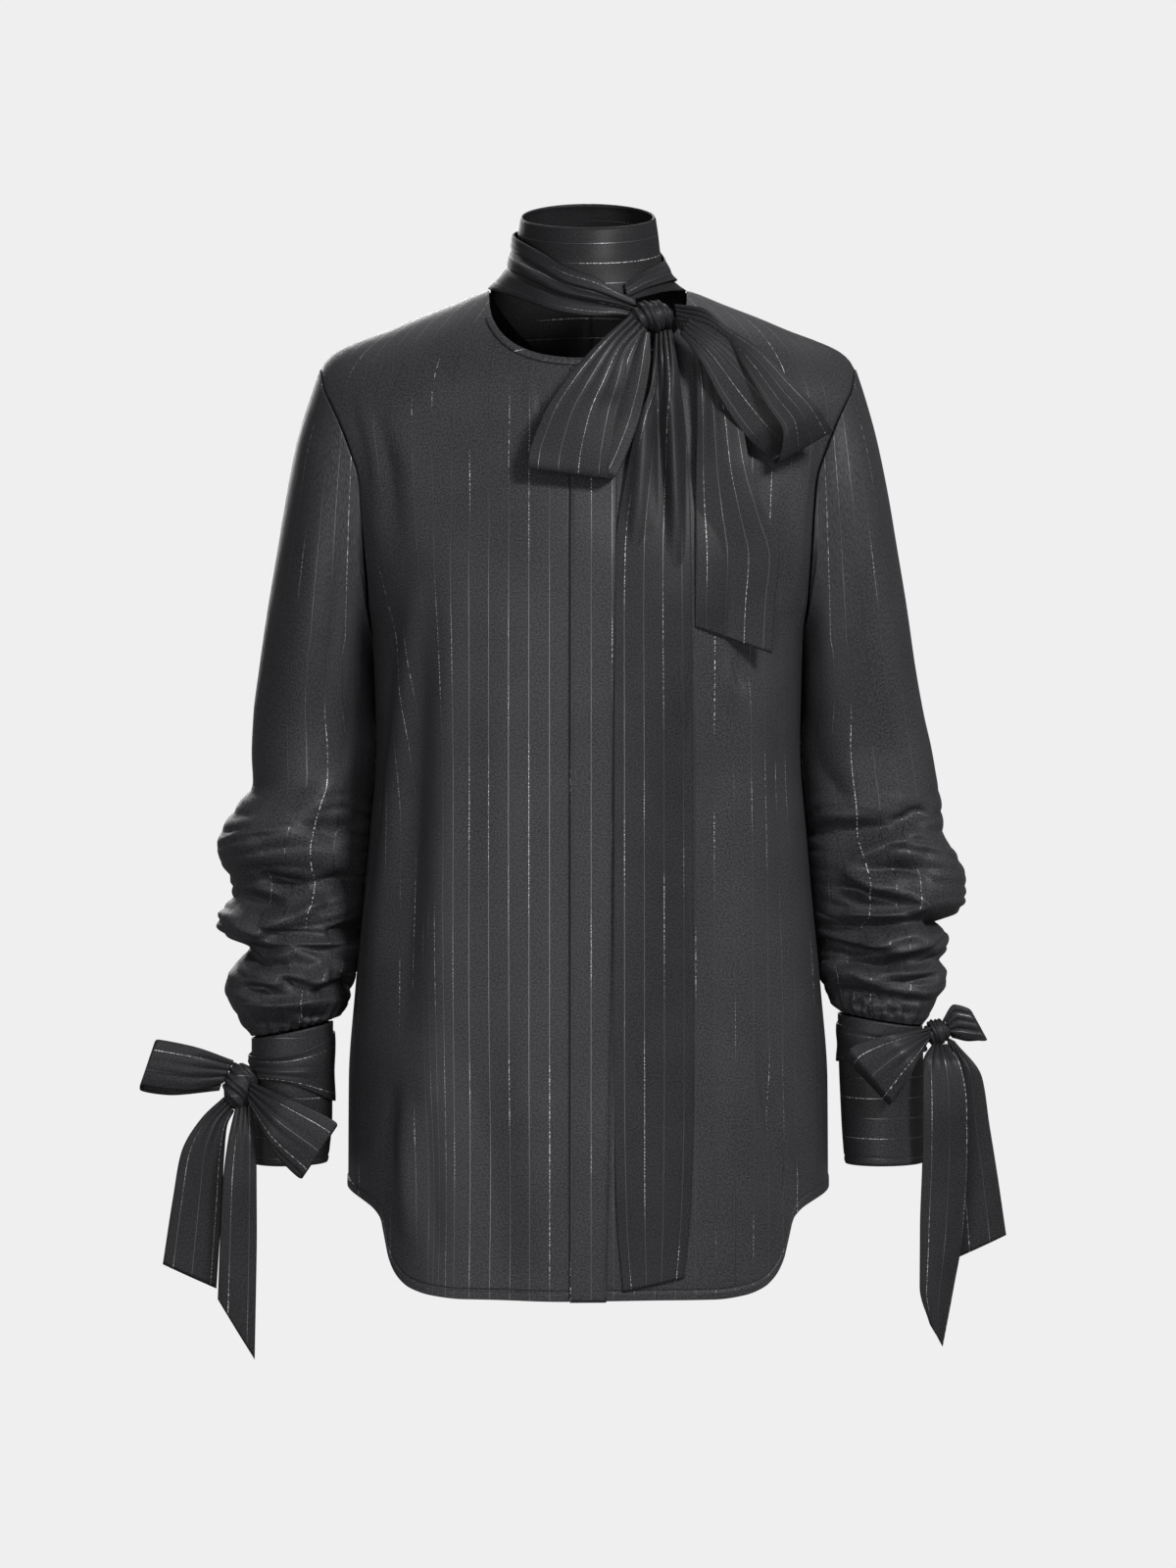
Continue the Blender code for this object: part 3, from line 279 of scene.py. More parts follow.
def body(angle, z):
    """The body's surface at an angle round it, 0 at the middle of the front, and a height.

    The section is a superellipse moved out by the folds, and near the shoulder its depth closes in
    on the seam."""
    back = np.cos(angle) < 0
    half, depth = body_section(z, back)
    across, along = np.abs(np.sin(angle)), np.abs(np.cos(angle))
    radius = ((across / half) ** SQUARENESS + (along / depth) ** SQUARENESS) ** (-1 / SQUARENESS)
    seen_x = radius * np.sin(angle)
    folds = np.where(back, relief(BACK_FOLDS, seen_x, z), relief(FRONT_FOLDS, seen_x, z))
    flare = 3.0 * ease((-380 - z) / 380) * np.cos(angle * 8 + 0.6) * across * along * 2
    radius = radius + (folds * ease(along / 0.22) + flare) * ease((SHOULDER_TIP_Z - z) / 40)
    x, y = radius * np.sin(angle), -radius * np.cos(angle)
    below = np.clip((curve(SHOULDER["x"], SHOULDER["z"], np.abs(x)) - z) / SHOULDER_ROUNDING, 0, 1)
    over = (1 - (1 - below) ** 2.2) ** (1 / 2.2)
    return np.stack([x, SHOULDER_SEAM_Y + (y - SHOULDER_SEAM_Y) * over, z + 0 * x], axis=-1)


def angle_at(x, z, back=False):
    """The angle round the body at which its smooth section has this x."""
    half, depth = body_section(z, back)
    ratio = np.clip(np.abs(x) / half, 0, 1)
    angle = np.arctan2(x, depth * (1 - ratio**SQUARENESS) ** (1 / SQUARENESS))
    return np.pi - angle if back else angle


def side_angle(z, back):
    """The angle of a panel's side edge from the middle: the side seam, then the armhole."""
    x = curve(ARMHOLE["z"], ARMHOLE["x"], z)
    half, depth = body_section(z, back)
    ratio = np.clip(x / half, 0, 1)
    cut = np.arctan2(x, depth * (1 - ratio**SQUARENESS) ** (1 / SQUARENESS))
    return np.where(z > ARMPIT_Z, cut, np.pi / 2)


def front_neck(x):
    """The height of the front neckline, a scoop that ends at the neck points."""
    share = np.clip(np.abs(x) / NECK_HALF_WIDTH, 0, 1)
    return NECK_POINT_Z - (NECK_POINT_Z - FRONT_NECK_Z) * (1 - share**2.6) ** (1 / 2.6)


def back_neck(x):
    """The height of the back neckline, where the collar is sewn on."""
    share = np.clip(np.abs(x) / NECK_HALF_WIDTH, 0, 1)
    return BACK_NECK_Z + (NECK_POINT_Z - BACK_NECK_Z) * share**2.2


def panel(shares, side, inner_x, back, arm_rows=76, lower_rows=136):
    """The angles and heights of a panel's grid, from the line x = inner_x to the side seam.

    Rows run from the top edge to the armpit's level and from there to the hem."""

    def angle(share, z):
        start = angle_at(inner_x, z) if inner_x else 0.0
        return start + share * (side_angle(z, back) - start)

    def across(share, z):
        turned = angle(share, z)
        half, depth = body_section(z, back)
        wide, deep = np.abs(np.sin(turned)) / half, np.abs(np.cos(turned)) / depth
        return (wide**SQUARENESS + deep**SQUARENESS) ** (-1 / SQUARENESS) * np.sin(turned)

    def top_line(x):
        neck = back_neck(x) if back else front_neck(x)
        shoulder = curve(SHOULDER["x"], SHOULDER["z"], np.abs(x))
        return np.where(np.abs(x) < NECK_HALF_WIDTH, neck, shoulder)

    signs, plain = np.where(shares < 0, -1.0, 1.0), np.abs(shares)
    low, high = np.full(len(shares), -120.0), np.full(len(shares), 20.0)
    for _ in range(40):
        middle = (low + high) / 2
        above = top_line(across(plain, middle)) > middle
        low, high = np.where(above, middle, low), np.where(above, high, middle)
    top = np.where(plain == 1, SHOULDER_TIP_Z, low)
    turned = np.degrees(angle(plain, np.full(len(shares), -740.0)))
    hem = curve(HEM["angle"], HEM["back" if back else "front"], np.abs(turned))
    arm = (1 - np.cos(np.pi * np.arange(arm_rows + 1) / arm_rows)) / 2
    near_hem, hem_rows = 0.978, 14
    rest = np.linspace(0, near_hem, lower_rows - hem_rows + 1)[1:]
    lower = np.concatenate([rest, np.linspace(near_hem, 1, hem_rows + 1)[1:]])
    upper_z = top[:, None] + (ARMPIT_Z - top[:, None]) * arm
    z = np.concatenate([upper_z, ARMPIT_Z + (hem[:, None] - ARMPIT_Z) * lower], axis=1)
    turned = angle(plain[:, None], z) * signs[:, None] * side
    return (np.pi - turned if back else turned), z, hem


def normals(points, closed=False):
    """The unit normals of a grid of points, from the differences between its neighbours."""
    if closed:
        ring = np.concatenate([points[-1:], points, points[:1]])
        along_a = ring[2:] - ring[:-2]
    else:
        along_a = np.gradient(points, axis=0)
    normal = np.cross(along_a, np.gradient(points, axis=1))
    return normal / np.maximum(np.linalg.norm(normal, axis=-1, keepdims=True), 1e-9)


def cloth(name, points, grain, thickness, out=1, closed=False, offset=-1):
    """A sheet of quads through a grid of points, with its wall inside it.

    grain holds the cloth's own measures at each point, across the stripes and along them, and
    becomes the UV map. On a closed sheet it has one row more than points. out is -1 where the
    grid's own normal points inwards."""
    rows, columns = points.shape[:2]
    number = np.arange(rows * columns).reshape(rows, columns)
    if closed:
        number = np.concatenate([number, number[:1]])
    own = np.arange(grain.shape[0] * grain.shape[1]).reshape(grain.shape[:2])

    def corners(of):
        quads = np.stack([of[:-1, :-1], of[:-1, 1:], of[1:, 1:], of[1:, :-1]], axis=-1)
        return quads.reshape(-1, 4)[:, ::-1] if out > 0 else quads.reshape(-1, 4)

    made = mesh_object(name, points * MM, corners(number).tolist())
    uv = made.data.uv_layers.new(name="grain")
    measures = grain.reshape(-1, 2)[corners(own).ravel()] * MM
    uv.data.foreach_set("uv", measures.astype(np.float32).ravel())
    made.data.shade_smooth()
    wall = made.modifiers.new("wall", "SOLIDIFY")
    wall.thickness = thickness * MM
    wall.offset = offset
    return made


def satin(name, stripe_shift=0.0, depth=1.0):
    """Pinstriped satin: fine mottled black cloth, and metallic threads with painted glints here and
    there.

    Threads lie where the grain's u is a whole number of pitches from the first. The painted glints
    are short dashes of pale, not metallic, colour within longer stretches of a thread, in place of
    the threads' reflections of the lamps. depth is how light the black is: below 1 it gives a
    darker copy of the same satin, which is painted shade."""
    material = bpy.data.materials.new(name)
    material.use_nodes = True
    tree = material.node_tree
    shader = tree.nodes["Principled BSDF"].inputs

    def feed(socket, value):
        if hasattr(value, "is_output"):
            tree.links.new(value, socket)
        else:
            socket.default_value = value

    def node(kind, *values, **named):
        made = tree.nodes.new(kind)
        for key, value in list(enumerate(values)) + list(named.items()):
            feed(made.inputs[key], value)
        return made

    def worked(kind, *values, clamp=False):
        made = node("ShaderNodeMath", *values)
        made.operation, made.use_clamp = kind, clamp
        return made.outputs[0]

    def soft_step(*values):
        """From value, low and high to a soft step, between the two values that may follow."""
        made = node("ShaderNodeMapRange", *values)
        made.interpolation_type = "SMOOTHSTEP"
        return made.outputs[0]

    def noise(place, scale, detail):
        return node("ShaderNodeTexNoise", Vector=place, Scale=scale, Detail=detail).outputs[0]

    def mixed(share, first, second, kind="MIX"):
        made = node("ShaderNodeMix", share)
        made.data_type, made.blend_type = "RGBA", kind
        feed(made.inputs[6], first)
        feed(made.inputs[7], second)
        return made.outputs[2]

    grain = tree.nodes.new("ShaderNodeUVMap")
    grain.uv_map = "grain"
    grain = grain.outputs[0]
    across, along = node("ShaderNodeSeparateXYZ", grain).outputs[:2]
    from_first = worked("SUBTRACT", across, (STRIPE_START + stripe_shift) * MM)
    pitches = worked("ADD", worked("DIVIDE", from_first, STRIPE_PITCH * MM), 0.5)
    off = worked("ABSOLUTE", worked("SUBTRACT", worked("FRACT", pitches), 0.5))
    half_thread = 0.13 / STRIPE_PITCH
    thread = soft_step(off, half_thread, half_thread * 3, 1.0, 0.0)
    # Painted glints: pale colour in short dashes on the threads, within longer stretches of them
    apart = worked("MULTIPLY", worked("FLOOR", pitches), 7.31)
    glint_stretch = noise(node("ShaderNodeCombineXYZ", apart, along).outputs[0], 9.0, 1.0)
    glint_dashes = soft_step(noise(grain, 800.0, 0.0), 0.5, 0.58)
    painted_glint = worked("MULTIPLY", soft_step(glint_stretch, 0.55, 0.68), glint_dashes)
    painted_glint = worked("MULTIPLY", painted_glint, thread, clamp=True)

    mottle = noise(grain, 750.0, 1.0)
    clouds = soft_step(noise(grain, 22.0, 2.0), 0.3, 0.7, -0.06, 0.06)
    # The black's lightness: mottled weave and broad random tone, times depth; depth below 1 is
    # painted shade
    shade = worked("ADD", soft_step(mottle, 0.3, 0.7, 0.55 * depth, 1.45 * depth), clouds)
    black = mixed(1.0, (0.038, 0.038, 0.0415, 1), shade, "MULTIPLY")
    woven = mixed(thread, black, (0.11, 0.11, 0.118, 1))
    # The painted glints are a pale base colour with no metal, standing in for reflections of the
    # lamps
    feed(shader["Base Color"], mixed(painted_glint, woven, (0.7, 0.7, 0.71, 1)))
    feed(shader["Metallic"], worked("SUBTRACT", thread, painted_glint, clamp=True))
    feed(shader["Roughness"], soft_step(thread, 0.0, 1.0, 0.5, 0.38))
    shader["Specular IOR Level"].default_value = 0.2
    shader["Anisotropic"].default_value = 0.3
    height = worked("ADD", mottle, worked("MULTIPLY", thread, 0.5))
    bump = node("ShaderNodeBump", Strength=0.35, Distance=0.00012, Height=height)
    feed(shader["Normal"], bump.outputs[0])
    return material


def place(piece, material, slot, node, flat=None, held="hung", rests_on=(), area=None):
    """Gives a finished piece its satin, hangs it from the root and hides the model's part named
    node. The cut of the cloth that shows, given by flat, held, rests_on and area, is not used.
    """
    piece.data.materials.append(material)
    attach(piece, "root")
    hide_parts(node)


def run_along(line):
    """The distance along a line of points from its first, or along each line of a grid."""
    step = np.linalg.norm(np.diff(line, axis=0), axis=-1)
    return np.concatenate([np.zeros_like(step[:1]), np.cumsum(step, axis=0)])


def stitches(name, line, normal, pitch=STITCH_PITCH, lift=0.1):
    """Raised stitches along a line of points: a flat lozenge every pitch, lying along it."""
    run = run_along(line)
    at = np.arange(pitch, run[-1] - pitch / 2, pitch)

    def read(of, where):
        return np.stack([np.interp(where, run, of[:, k]) for k in range(3)], axis=-1)

    middle, up = read(line, at), read(normal, at)
    ahead = read(line, at + 1) - middle
    ahead /= np.linalg.norm(ahead, axis=-1, keepdims=True)
    half, aside = 1.05 * ahead, 0.24 * np.cross(up, ahead)
    crown = middle + 0.2 * up
    corners = [middle - half, crown - aside, middle + half, crown + aside]
    points = np.stack([corner + lift * up for corner in corners], axis=1) * MM
    made = mesh_object(name, points, np.arange(4 * len(at)).reshape(-1, 4).tolist())
    made.data.materials.append(thread_material)
    thick = made.modifiers.new("thickness", "SOLIDIFY")
    thick.thickness = 0.18 * MM
    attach(made, "root")


thread_material = bpy.data.materials.new("sewing_thread")
thread_material.use_nodes = True
thread_tree = thread_material.node_tree
thread_shader = thread_tree.nodes["Principled BSDF"]
thread_shader.inputs["Base Color"].default_value = (0.022, 0.022, 0.024, 1)
thread_place = thread_tree.nodes.new("ShaderNodeTexCoord")
thread_fibre = thread_tree.nodes.new("ShaderNodeTexNoise")
thread_fibre.inputs["Scale"].default_value = 3000
thread_ramp = thread_tree.nodes.new("ShaderNodeMapRange")
thread_ramp.inputs["To Min"].default_value = 0.35
thread_ramp.inputs["To Max"].default_value = 0.75
thread_tree.links.new(thread_place.outputs["Object"], thread_fibre.inputs["Vector"])
thread_tree.links.new(thread_fibre.outputs[0], thread_ramp.inputs["Value"])
thread_tree.links.new(thread_ramp.outputs[0], thread_shader.inputs["Roughness"])


def hem_stitches(name, points, out, hem):
    """The stitches of a turned-up hem, 6 mm above its edge, column by column."""

    def read(of):
        columns = zip((hem + 6.0)[1:-1], points[1:-1, ::-1, 2], of[1:-1, ::-1])
        return np.array([[np.interp(z, up, row[:, k]) for k in range(3)] for z, up, row in columns])

    stitches(name, read(points), read(normals(points) * out))


def placket_lift(x):
    """How far the front that lies on top is raised near the closing."""
    return PLACKET_RISE * ease((x + 85) / 65)


# How far a stripe near the wearer's right side drifts towards the middle on its way down
DRIFT = table(
    "u drift",
    (-215, 44), (-168, 38), (-150, 28), (-139.5, 21), (-125, 13), (-112, 6), (-98, 0),
)


def body_grain(points, start, side, drift):
    """The grain of a panel: the run of cloth across it from its first column, and the height."""
    run = run_along(points[..., :2]) * side + start
    z = points[..., 2]
    if drift:
        down = ease((-100 - z) / 320) + 0.25 * ease((-420 - z) / 280)
        own = run
        for _ in range(12):
            own = 0.5 * own + 0.5 * (run - curve(DRIFT["u"], DRIFT["drift"], own) * down)
        run = own
    return np.stack([run, z], axis=-1)


def turned_hem(points, normal, hem):
    """Raises a narrow band along the hem, where the edge is turned up, with a groove at its top."""
    above = points[..., 2] - hem[:, None]
    band = 1 - ease((above - HEM_WIDTH + 0.5) / 1.2)
    groove = np.exp(-(((above - HEM_WIDTH - 0.4) / 0.7) ** 2))
    return points + normal * (0.7 * band - 0.9 * groove)[..., None]


body_satin = satin("body_satin")

back_shares = np.linspace(-1, 1, 143)
back_angle, back_z, back_hem = panel(back_shares, 1, 0, True, 66, 122)
back_points = body(back_angle, back_z) + np.array([0, 0.2, 0])
back_points = turned_hem(back_points, normals(back_points), back_hem)
back_grain = body_grain(back_points, 0, 1, False)
back_grain[..., 0] -= back_grain[len(back_shares) // 2][None, :, 0]
back = cloth("back_panel", back_points, back_grain, PANEL_CLOTH)
place(back, body_satin, "body_satin", "back", (0.50, 0.79), "hung", ["collar_band"], 0.335)
hem_stitches("back_hem_stitches", back_points, 1, back_hem)

front_shares = np.linspace(0, 1, 121)
right_angle, right_z, right_hem = panel(front_shares, -1, -PLACKET_STITCH_X, False)
right_points = body(right_angle, right_z) + np.array([0, -0.2, 0])
right_points = right_points + normals(right_points) * placket_lift(right_points[..., :1])
right_points = turned_hem(right_points, normals(right_points), right_hem)
right_grain = body_grain(right_points, PLACKET_STITCH_X, -1, True)
right_front = cloth("right_front", right_points, right_grain, PANEL_CLOTH)
place(right_front, body_satin, "body_satin", "front_right", (0.30, 0.76), "hung", ["back"], 0.168)
hem_stitches("right_front_hem_stitches", right_points, 1, right_hem)

left_angle, left_z, left_hem = panel(front_shares, 1, UNDERLAP_X, False)
left_points = body(left_angle, left_z) + np.array([0, -0.2, 0])
left_points = turned_hem(left_points, -normals(left_points), left_hem)
left_grain = body_grain(left_points, UNDERLAP_X - 1.5, 1, False)
left_front = cloth("left_front", left_points, left_grain, PANEL_CLOTH, out=-1)
place(left_front, body_satin, "body_satin", "front_left", (0.30, 0.76), "hung", ["back"], 0.19)
hem_stitches("left_front_hem_stitches", left_points, -1, left_hem)

# The closing strip and the neckline's binding
# The strip is a folded band of the same satin that hides the buttons, stitched down along its
# left side and free at its right edge. A narrow bias strip finishes the open neckline.


def front_at(x, z):
    """The front's surface by the x and z of a point on it."""
    return body(angle_at(x, z), z)


PLACKET_EDGE = table("z x", (-56, 20), (-133, 21), (-300, 18.5), (-480, 17), (-620, 15), (-760, 13))
placket_across = np.linspace(0, 1, 22)[:, None]
placket_down = np.linspace(0, 1, 240)[None, :]
placket_z = FRONT_NECK_Z + 0.4 + (HEM["front"][0] - 1.2 - FRONT_NECK_Z) * placket_down
placket_edge = curve(PLACKET_EDGE["z"], PLACKET_EDGE["x"], placket_z)
placket_x = PLACKET_STITCH_X + 0.4 + (placket_edge - PLACKET_STITCH_X) * placket_across
placket_z = placket_z + 0 * placket_x
placket_points = front_at(placket_x, placket_z)
ripple = 0.5 * np.sin(placket_down * 23 + 1) * ease(placket_across * 1.4 - 0.4)
raised = PLACKET_RISE + 0.5 * ease(placket_across / 0.08) + ripple
raised = raised - 0.8 * ease((placket_across - 0.93) / 0.07)
placket_points = placket_points - normals(placket_points) * raised[..., None]
placket_grain = np.stack([placket_x, placket_z], axis=-1)
placket = cloth("placket_strip", placket_points, placket_grain, 1.4, out=-1)
placket_satin = satin("placket_satin")
place(placket, placket_satin, "placket_satin", "placket", (0.035, 0.70), "folded", ["front_right"])
stitches("placket_stitches", placket_points[2], -normals(placket_points)[2])

BINDING_WIDTH = 5.2
BINDING_SPLIT_X = 18.5


def binding(name, from_share, to_share, lift):
    """The bias strip along the front neckline, rounded across, laid on the panel at its edge."""
    reach = np.linspace(from_share, to_share, 120)[:, None]
    edge_x = -NECK_HALF_WIDTH * np.cos(np.pi * reach)
    ahead_x = -NECK_HALF_WIDTH * np.cos(np.pi * (reach + 0.004))
    behind_x = -NECK_HALF_WIDTH * np.cos(np.pi * (reach - 0.004))
    run_x, run_z = ahead_x - behind_x, front_neck(ahead_x) - front_neck(behind_x)
    share = np.linspace(0, 1, 9)[None, :]
    width = BINDING_WIDTH * share / np.hypot(run_x, run_z)
    points = front_at(edge_x + run_z * width, front_neck(edge_x) - run_x * width)
    puckers = 0.18 * np.sin(reach * 300) * np.sin(np.pi * share)
    rounded = np.sqrt(np.clip(np.sin(np.pi * (0.08 + 0.84 * share)), 0, 1))
    bulge = lift(edge_x + run_z * width) + 0.6 + rounded + puckers
    points = points - normals(points) * bulge[..., None] + np.array([0, -0.2, 0])
    run = run_along(points[:, 0])[:, None]
    grain = np.stack([BINDING_WIDTH * share + 0.7 * run, run + 0 * share], axis=-1)
    made = cloth("neckline_" + name, points, grain, 0.8, out=-1)
    length = float(run[-1, 0]) * MM
    flat, area = (0.012, round(length, 3)), round(length * 0.0062, 6)
    sewn_to = ["front_" + name]
    node = "neck_binding_" + name
    place(made, binding_satin, "binding_satin", node, flat, "folded", sewn_to, area)


binding_satin = satin("binding_satin")
binding_split = float(np.arccos(-BINDING_SPLIT_X / NECK_HALF_WIDTH) / np.pi)
binding("right", 0.09, binding_split - 0.012, placket_lift)
binding("left", binding_split + 0.002, 0.91, lambda x: 0 * x)

# The sleeves
# Long tubes of the same satin, set into the armholes. They are far too long for the arm, so
# they are pushed up above the wrist into deep folds, and their stripes bend with the folds.
# A row is a ring round the arm. It runs from its outer point to its inner one beside the body,
# and stands before and behind the line between them by front and back. The first is the armhole.
SLEEVE_RIGHT = table(
    "outer_x outer_z inner_x inner_z front back",
    (203.5, -58, 165, -265, 62, 62), (211, -80, 166.5, -271, 66, 66),
    (219, -105, 167.5, -278, 67, 67), (228, -150, 167.5, -290, 66, 65),
    (236, -195, 167, -303, 64, 62), (244, -240, 166.5, -318, 61, 59),
    (251, -285, 164.5, -333, 58, 56), (256, -322, 162.8, -348, 55, 53),
    (257.5, -352, 163, -364, 53, 51), (256.5, -374, 164.4, -379, 52, 50),
    (266, -389, 165.4, -392, 54, 50), (278, -407, 166.6, -408, 59, 53),
    (283, -423, 167.8, -423, 60, 54), (280, -436, 169, -436, 55, 51),
    (272, -450, 170.2, -450, 48, 47), (273, -462, 171.4, -462, 50, 47),
    (281, -474, 172.6, -474, 56, 52), (283, -484, 173.6, -484, 58, 53),
    (275, -492, 174.6, -492, 52, 49), (260, -500, 175.6, -500, 45, 44),
    (267, -511, 177, -511, 50, 46), (275, -522, 178.8, -521, 57, 51),
    (277, -533, 180.6, -531, 56, 52), (271, -545, 183.5, -541, 48, 45),
    (263.5, -557, 187.5, -550, 40, 36), (259, -568, 193, -555.5, 34.5, 28),
)
SLEEVE_LEFT = table(
    "outer_x outer_z inner_x inner_z front back",
    (203.5, -58, 165, -265, 62, 62), (210, -78, 166.5, -271, 66, 66),
    (217.5, -105, 167.5, -278, 67, 67), (227, -150, 167.5, -290, 66, 65),
    (235, -195, 167, -303, 64, 62), (243, -240, 166.5, -318, 61, 59),
    (250, -285, 164.5, -333, 58, 56), (257, -322, 162.8, -348, 55, 53),
    (263, -348, 163, -364, 53, 51), (267.5, -374, 164.4, -379, 53, 50),
    (271, -396, 165.8, -397, 54, 50), (272, -416, 167.2, -415, 52, 50),
    (281, -431, 168.5, -430, 56, 52), (289, -446, 169.8, -444, 60, 54),
    (289, -462, 171, -458, 58, 54), (282, -475, 172.2, -470, 52, 50),
    (268, -482, 173, -478, 46, 46), (275, -491, 174, -487, 52, 48),
    (274, -501, 175.2, -496, 54, 49), (268, -510, 176.4, -505, 47, 46),
    (274, -519, 178, -514, 52, 49), (273, -529, 179.8, -524, 52, 47),
    (266, -539, 182.5, -533, 45, 41), (260, -550, 185.5, -542, 37.5, 33),
    (257.5, -559, 190, -549, 33.5, 28),
)
# Folds, seen from the front (the wearer's right sleeve has its x below 0): a line through three
# points, how far the cloth stands out there and the fold's half width
SLEEVE_FRONT_FOLDS_RIGHT = table(
    "ax az bx bz cx cz depth width",
    (-184, -166, -193, -255, -209, -351, -5, 12), (-200, -100, -209, -196, -222, -300, 2.5, 16),
    (-176, -255, -184, -329, -196, -396, -4, 12), (-178, -344, -193, -374, -222, -403, 3, 12),
    (-169, -403, -193, -411, -230, -400, -4, 9), (-278, -433, -250, -407, -200, -407, 3.5, 12),
    (-250, -442, -232, -450, -212, -451, -6, 5), (-212, -451, -189, -448, -166, -450, -5, 6),
    (-268, -460, -250, -464, -229, -463, -6, 6), (-277, -475, -250, -485, -224, -474, 4, 6),
    (-224, -474, -207, -466, -209, -459, 4, 5), (-263, -480, -235, -488, -200, -487, -5.5, 5),
    (-200, -487, -184, -485, -166, -485, -5, 6), (-250, -497, -222, -492, -169, -498, 3.5, 6),
    (-258, -501, -250, -510, -227, -510, -5, 5), (-235, -522, -222, -526, -210, -528, -5, 4.5),
    (-255, -516, -222, -501, -201, -510, 4, 5), (-201, -510, -203, -520, -213, -524, 4, 5),
    (-264, -527, -238, -534, -212, -534, -6.5, 5), (-212, -534, -189, -529, -167, -523, -5, 6),
    (-263, -542, -235, -542, -189, -537, 4, 7), (-250, -548, -247, -559, -246, -571, -3, 3.5),
    (-243, -546, -239, -557, -237, -568, -3, 3.5), (-231, -548, -228, -556, -227, -563, -2.5, 4),
    (-218, -545, -209, -550, -196, -551, -3, 4),
)
SLEEVE_FRONT_FOLDS_LEFT = table(
    "ax az bx bz cx cz depth width",
    (183, -166, 194, -255, 211, -351, -3, 12), (201, -100, 212, -196, 226, -299, 2.5, 14),
    (167, -299, 178, -359, 200, -396, -3, 12), (166, -410, 195, -412, 229, -407, -5, 8),
    (229, -407, 244, -402, 257, -394, -5, 6), (201, -433, 226, -419, 259, -402, 4, 6),
    (212, -439, 237, -436, 263, -446, -5, 5), (226, -427, 255, -419, 280, -436, 3.5, 9),
    (195, -439, 220, -451, 246, -456, 4, 5), (246, -456, 254, -464, 243, -474, 4, 5),
    (243, -474, 220, -476, 195, -472, 4, 5), (189, -451, 214, -462, 240, -464, -4.5, 5),
    (254, -478, 266, -478, 281, -474, -5, 5), (178, -481, 207, -483, 237, -481, -5.5, 5),
    (176, -476, 203, -480, 228, -487, 3.5, 5), (228, -487, 226, -493, 206, -496, 3.5, 5),
    (172, -496, 198, -501, 226, -501, -6, 5), (226, -492, 244, -486, 263, -493, 3.5, 7),
    (189, -509, 226, -510, 263, -501, -5.5, 5), (186, -504, 226, -505, 265, -495, 3, 5),
    (185, -520, 203, -516, 222, -524, 3.5, 5), (220, -524, 244, -526, 267, -521, -5, 5),
    (191, -531, 222, -535, 254, -538, -5, 4.5), (226, -539, 229, -546, 232, -554, -3, 3.5),
    (238, -539, 242, -546, 244, -555, -3, 3.5), (201, -538, 207, -544, 210, -552, -2.5, 4),
)
SLEEVE_BACK_FOLDS = table(
    "ax az bx bz cx cz depth width",
    (190, -130, 204, -240, 214, -340, -4, 12), (212, -110, 222, -210, 232, -310, 3, 13),
    (176, -300, 190, -350, 214, -392, -3.5, 10), (172, -408, 205, -402, 250, -420, -5, 7),
    (176, -418, 212, -424, 262, -408, 4, 7), (180, -440, 214, -432, 268, -446, -5.5, 6),
    (176, -452, 222, -460, 276, -448, 4, 6), (184, -470, 230, -464, 270, -478, -5.5, 6),
    (178, -482, 214, -490, 264, -482, 4, 6), (182, -500, 226, -494, 262, -506, -5.5, 5),
    (184, -512, 224, -518, 266, -510, 4, 6), (188, -528, 226, -524, 262, -534, -5.5, 5),
    (192, -540, 224, -540, 256, -546, 3, 5), (214, -536, 216, -546, 218, -558, -2.5, 4),
    (232, -540, 232, -550, 234, -562, -2.5, 4),
)
# How far the arm's middle lies in front of (negative) or behind the body's middle, ring by ring
ARM_SWAY = table("ring y", (0, 0), (4, 8), (8, 19), (13, 16), (19, 4), (25, -6))


def armhole(turn):
    """The armhole's seam: 0 at the shoulder, a quarter turn at the front, half at the armpit."""
    z = (SHOULDER_TIP_Z + ARMPIT_Z) / 2 + (SHOULDER_TIP_Z - ARMPIT_Z) / 2 * np.cos(turn)
    in_back = np.sin(turn) < 0
    angle = np.where(in_back, np.pi - side_angle(z, True), side_angle(z, False))
    point = body(angle, z)
    point[..., 1] += np.where(in_back, 1, -1) * np.minimum(1, np.abs(np.sin(turn)) * 9) * 0.2
    return point


def ring_at(rings, turn, down):
    """The x, depth and z of an ellipse between a ring's outer and inner point, deeper in front."""
    values = {name: curve(np.arange(len(column)), column, down) for name, column in rings.items()}
    share = (1 + np.cos(turn)) / 2
    x = values["inner_x"] + (values["outer_x"] - values["inner_x"]) * share
    z = values["inner_z"] + (values["outer_z"] - values["inner_z"]) * share
    return x, np.where(np.sin(turn) > 0, values["front"], values["back"]), z


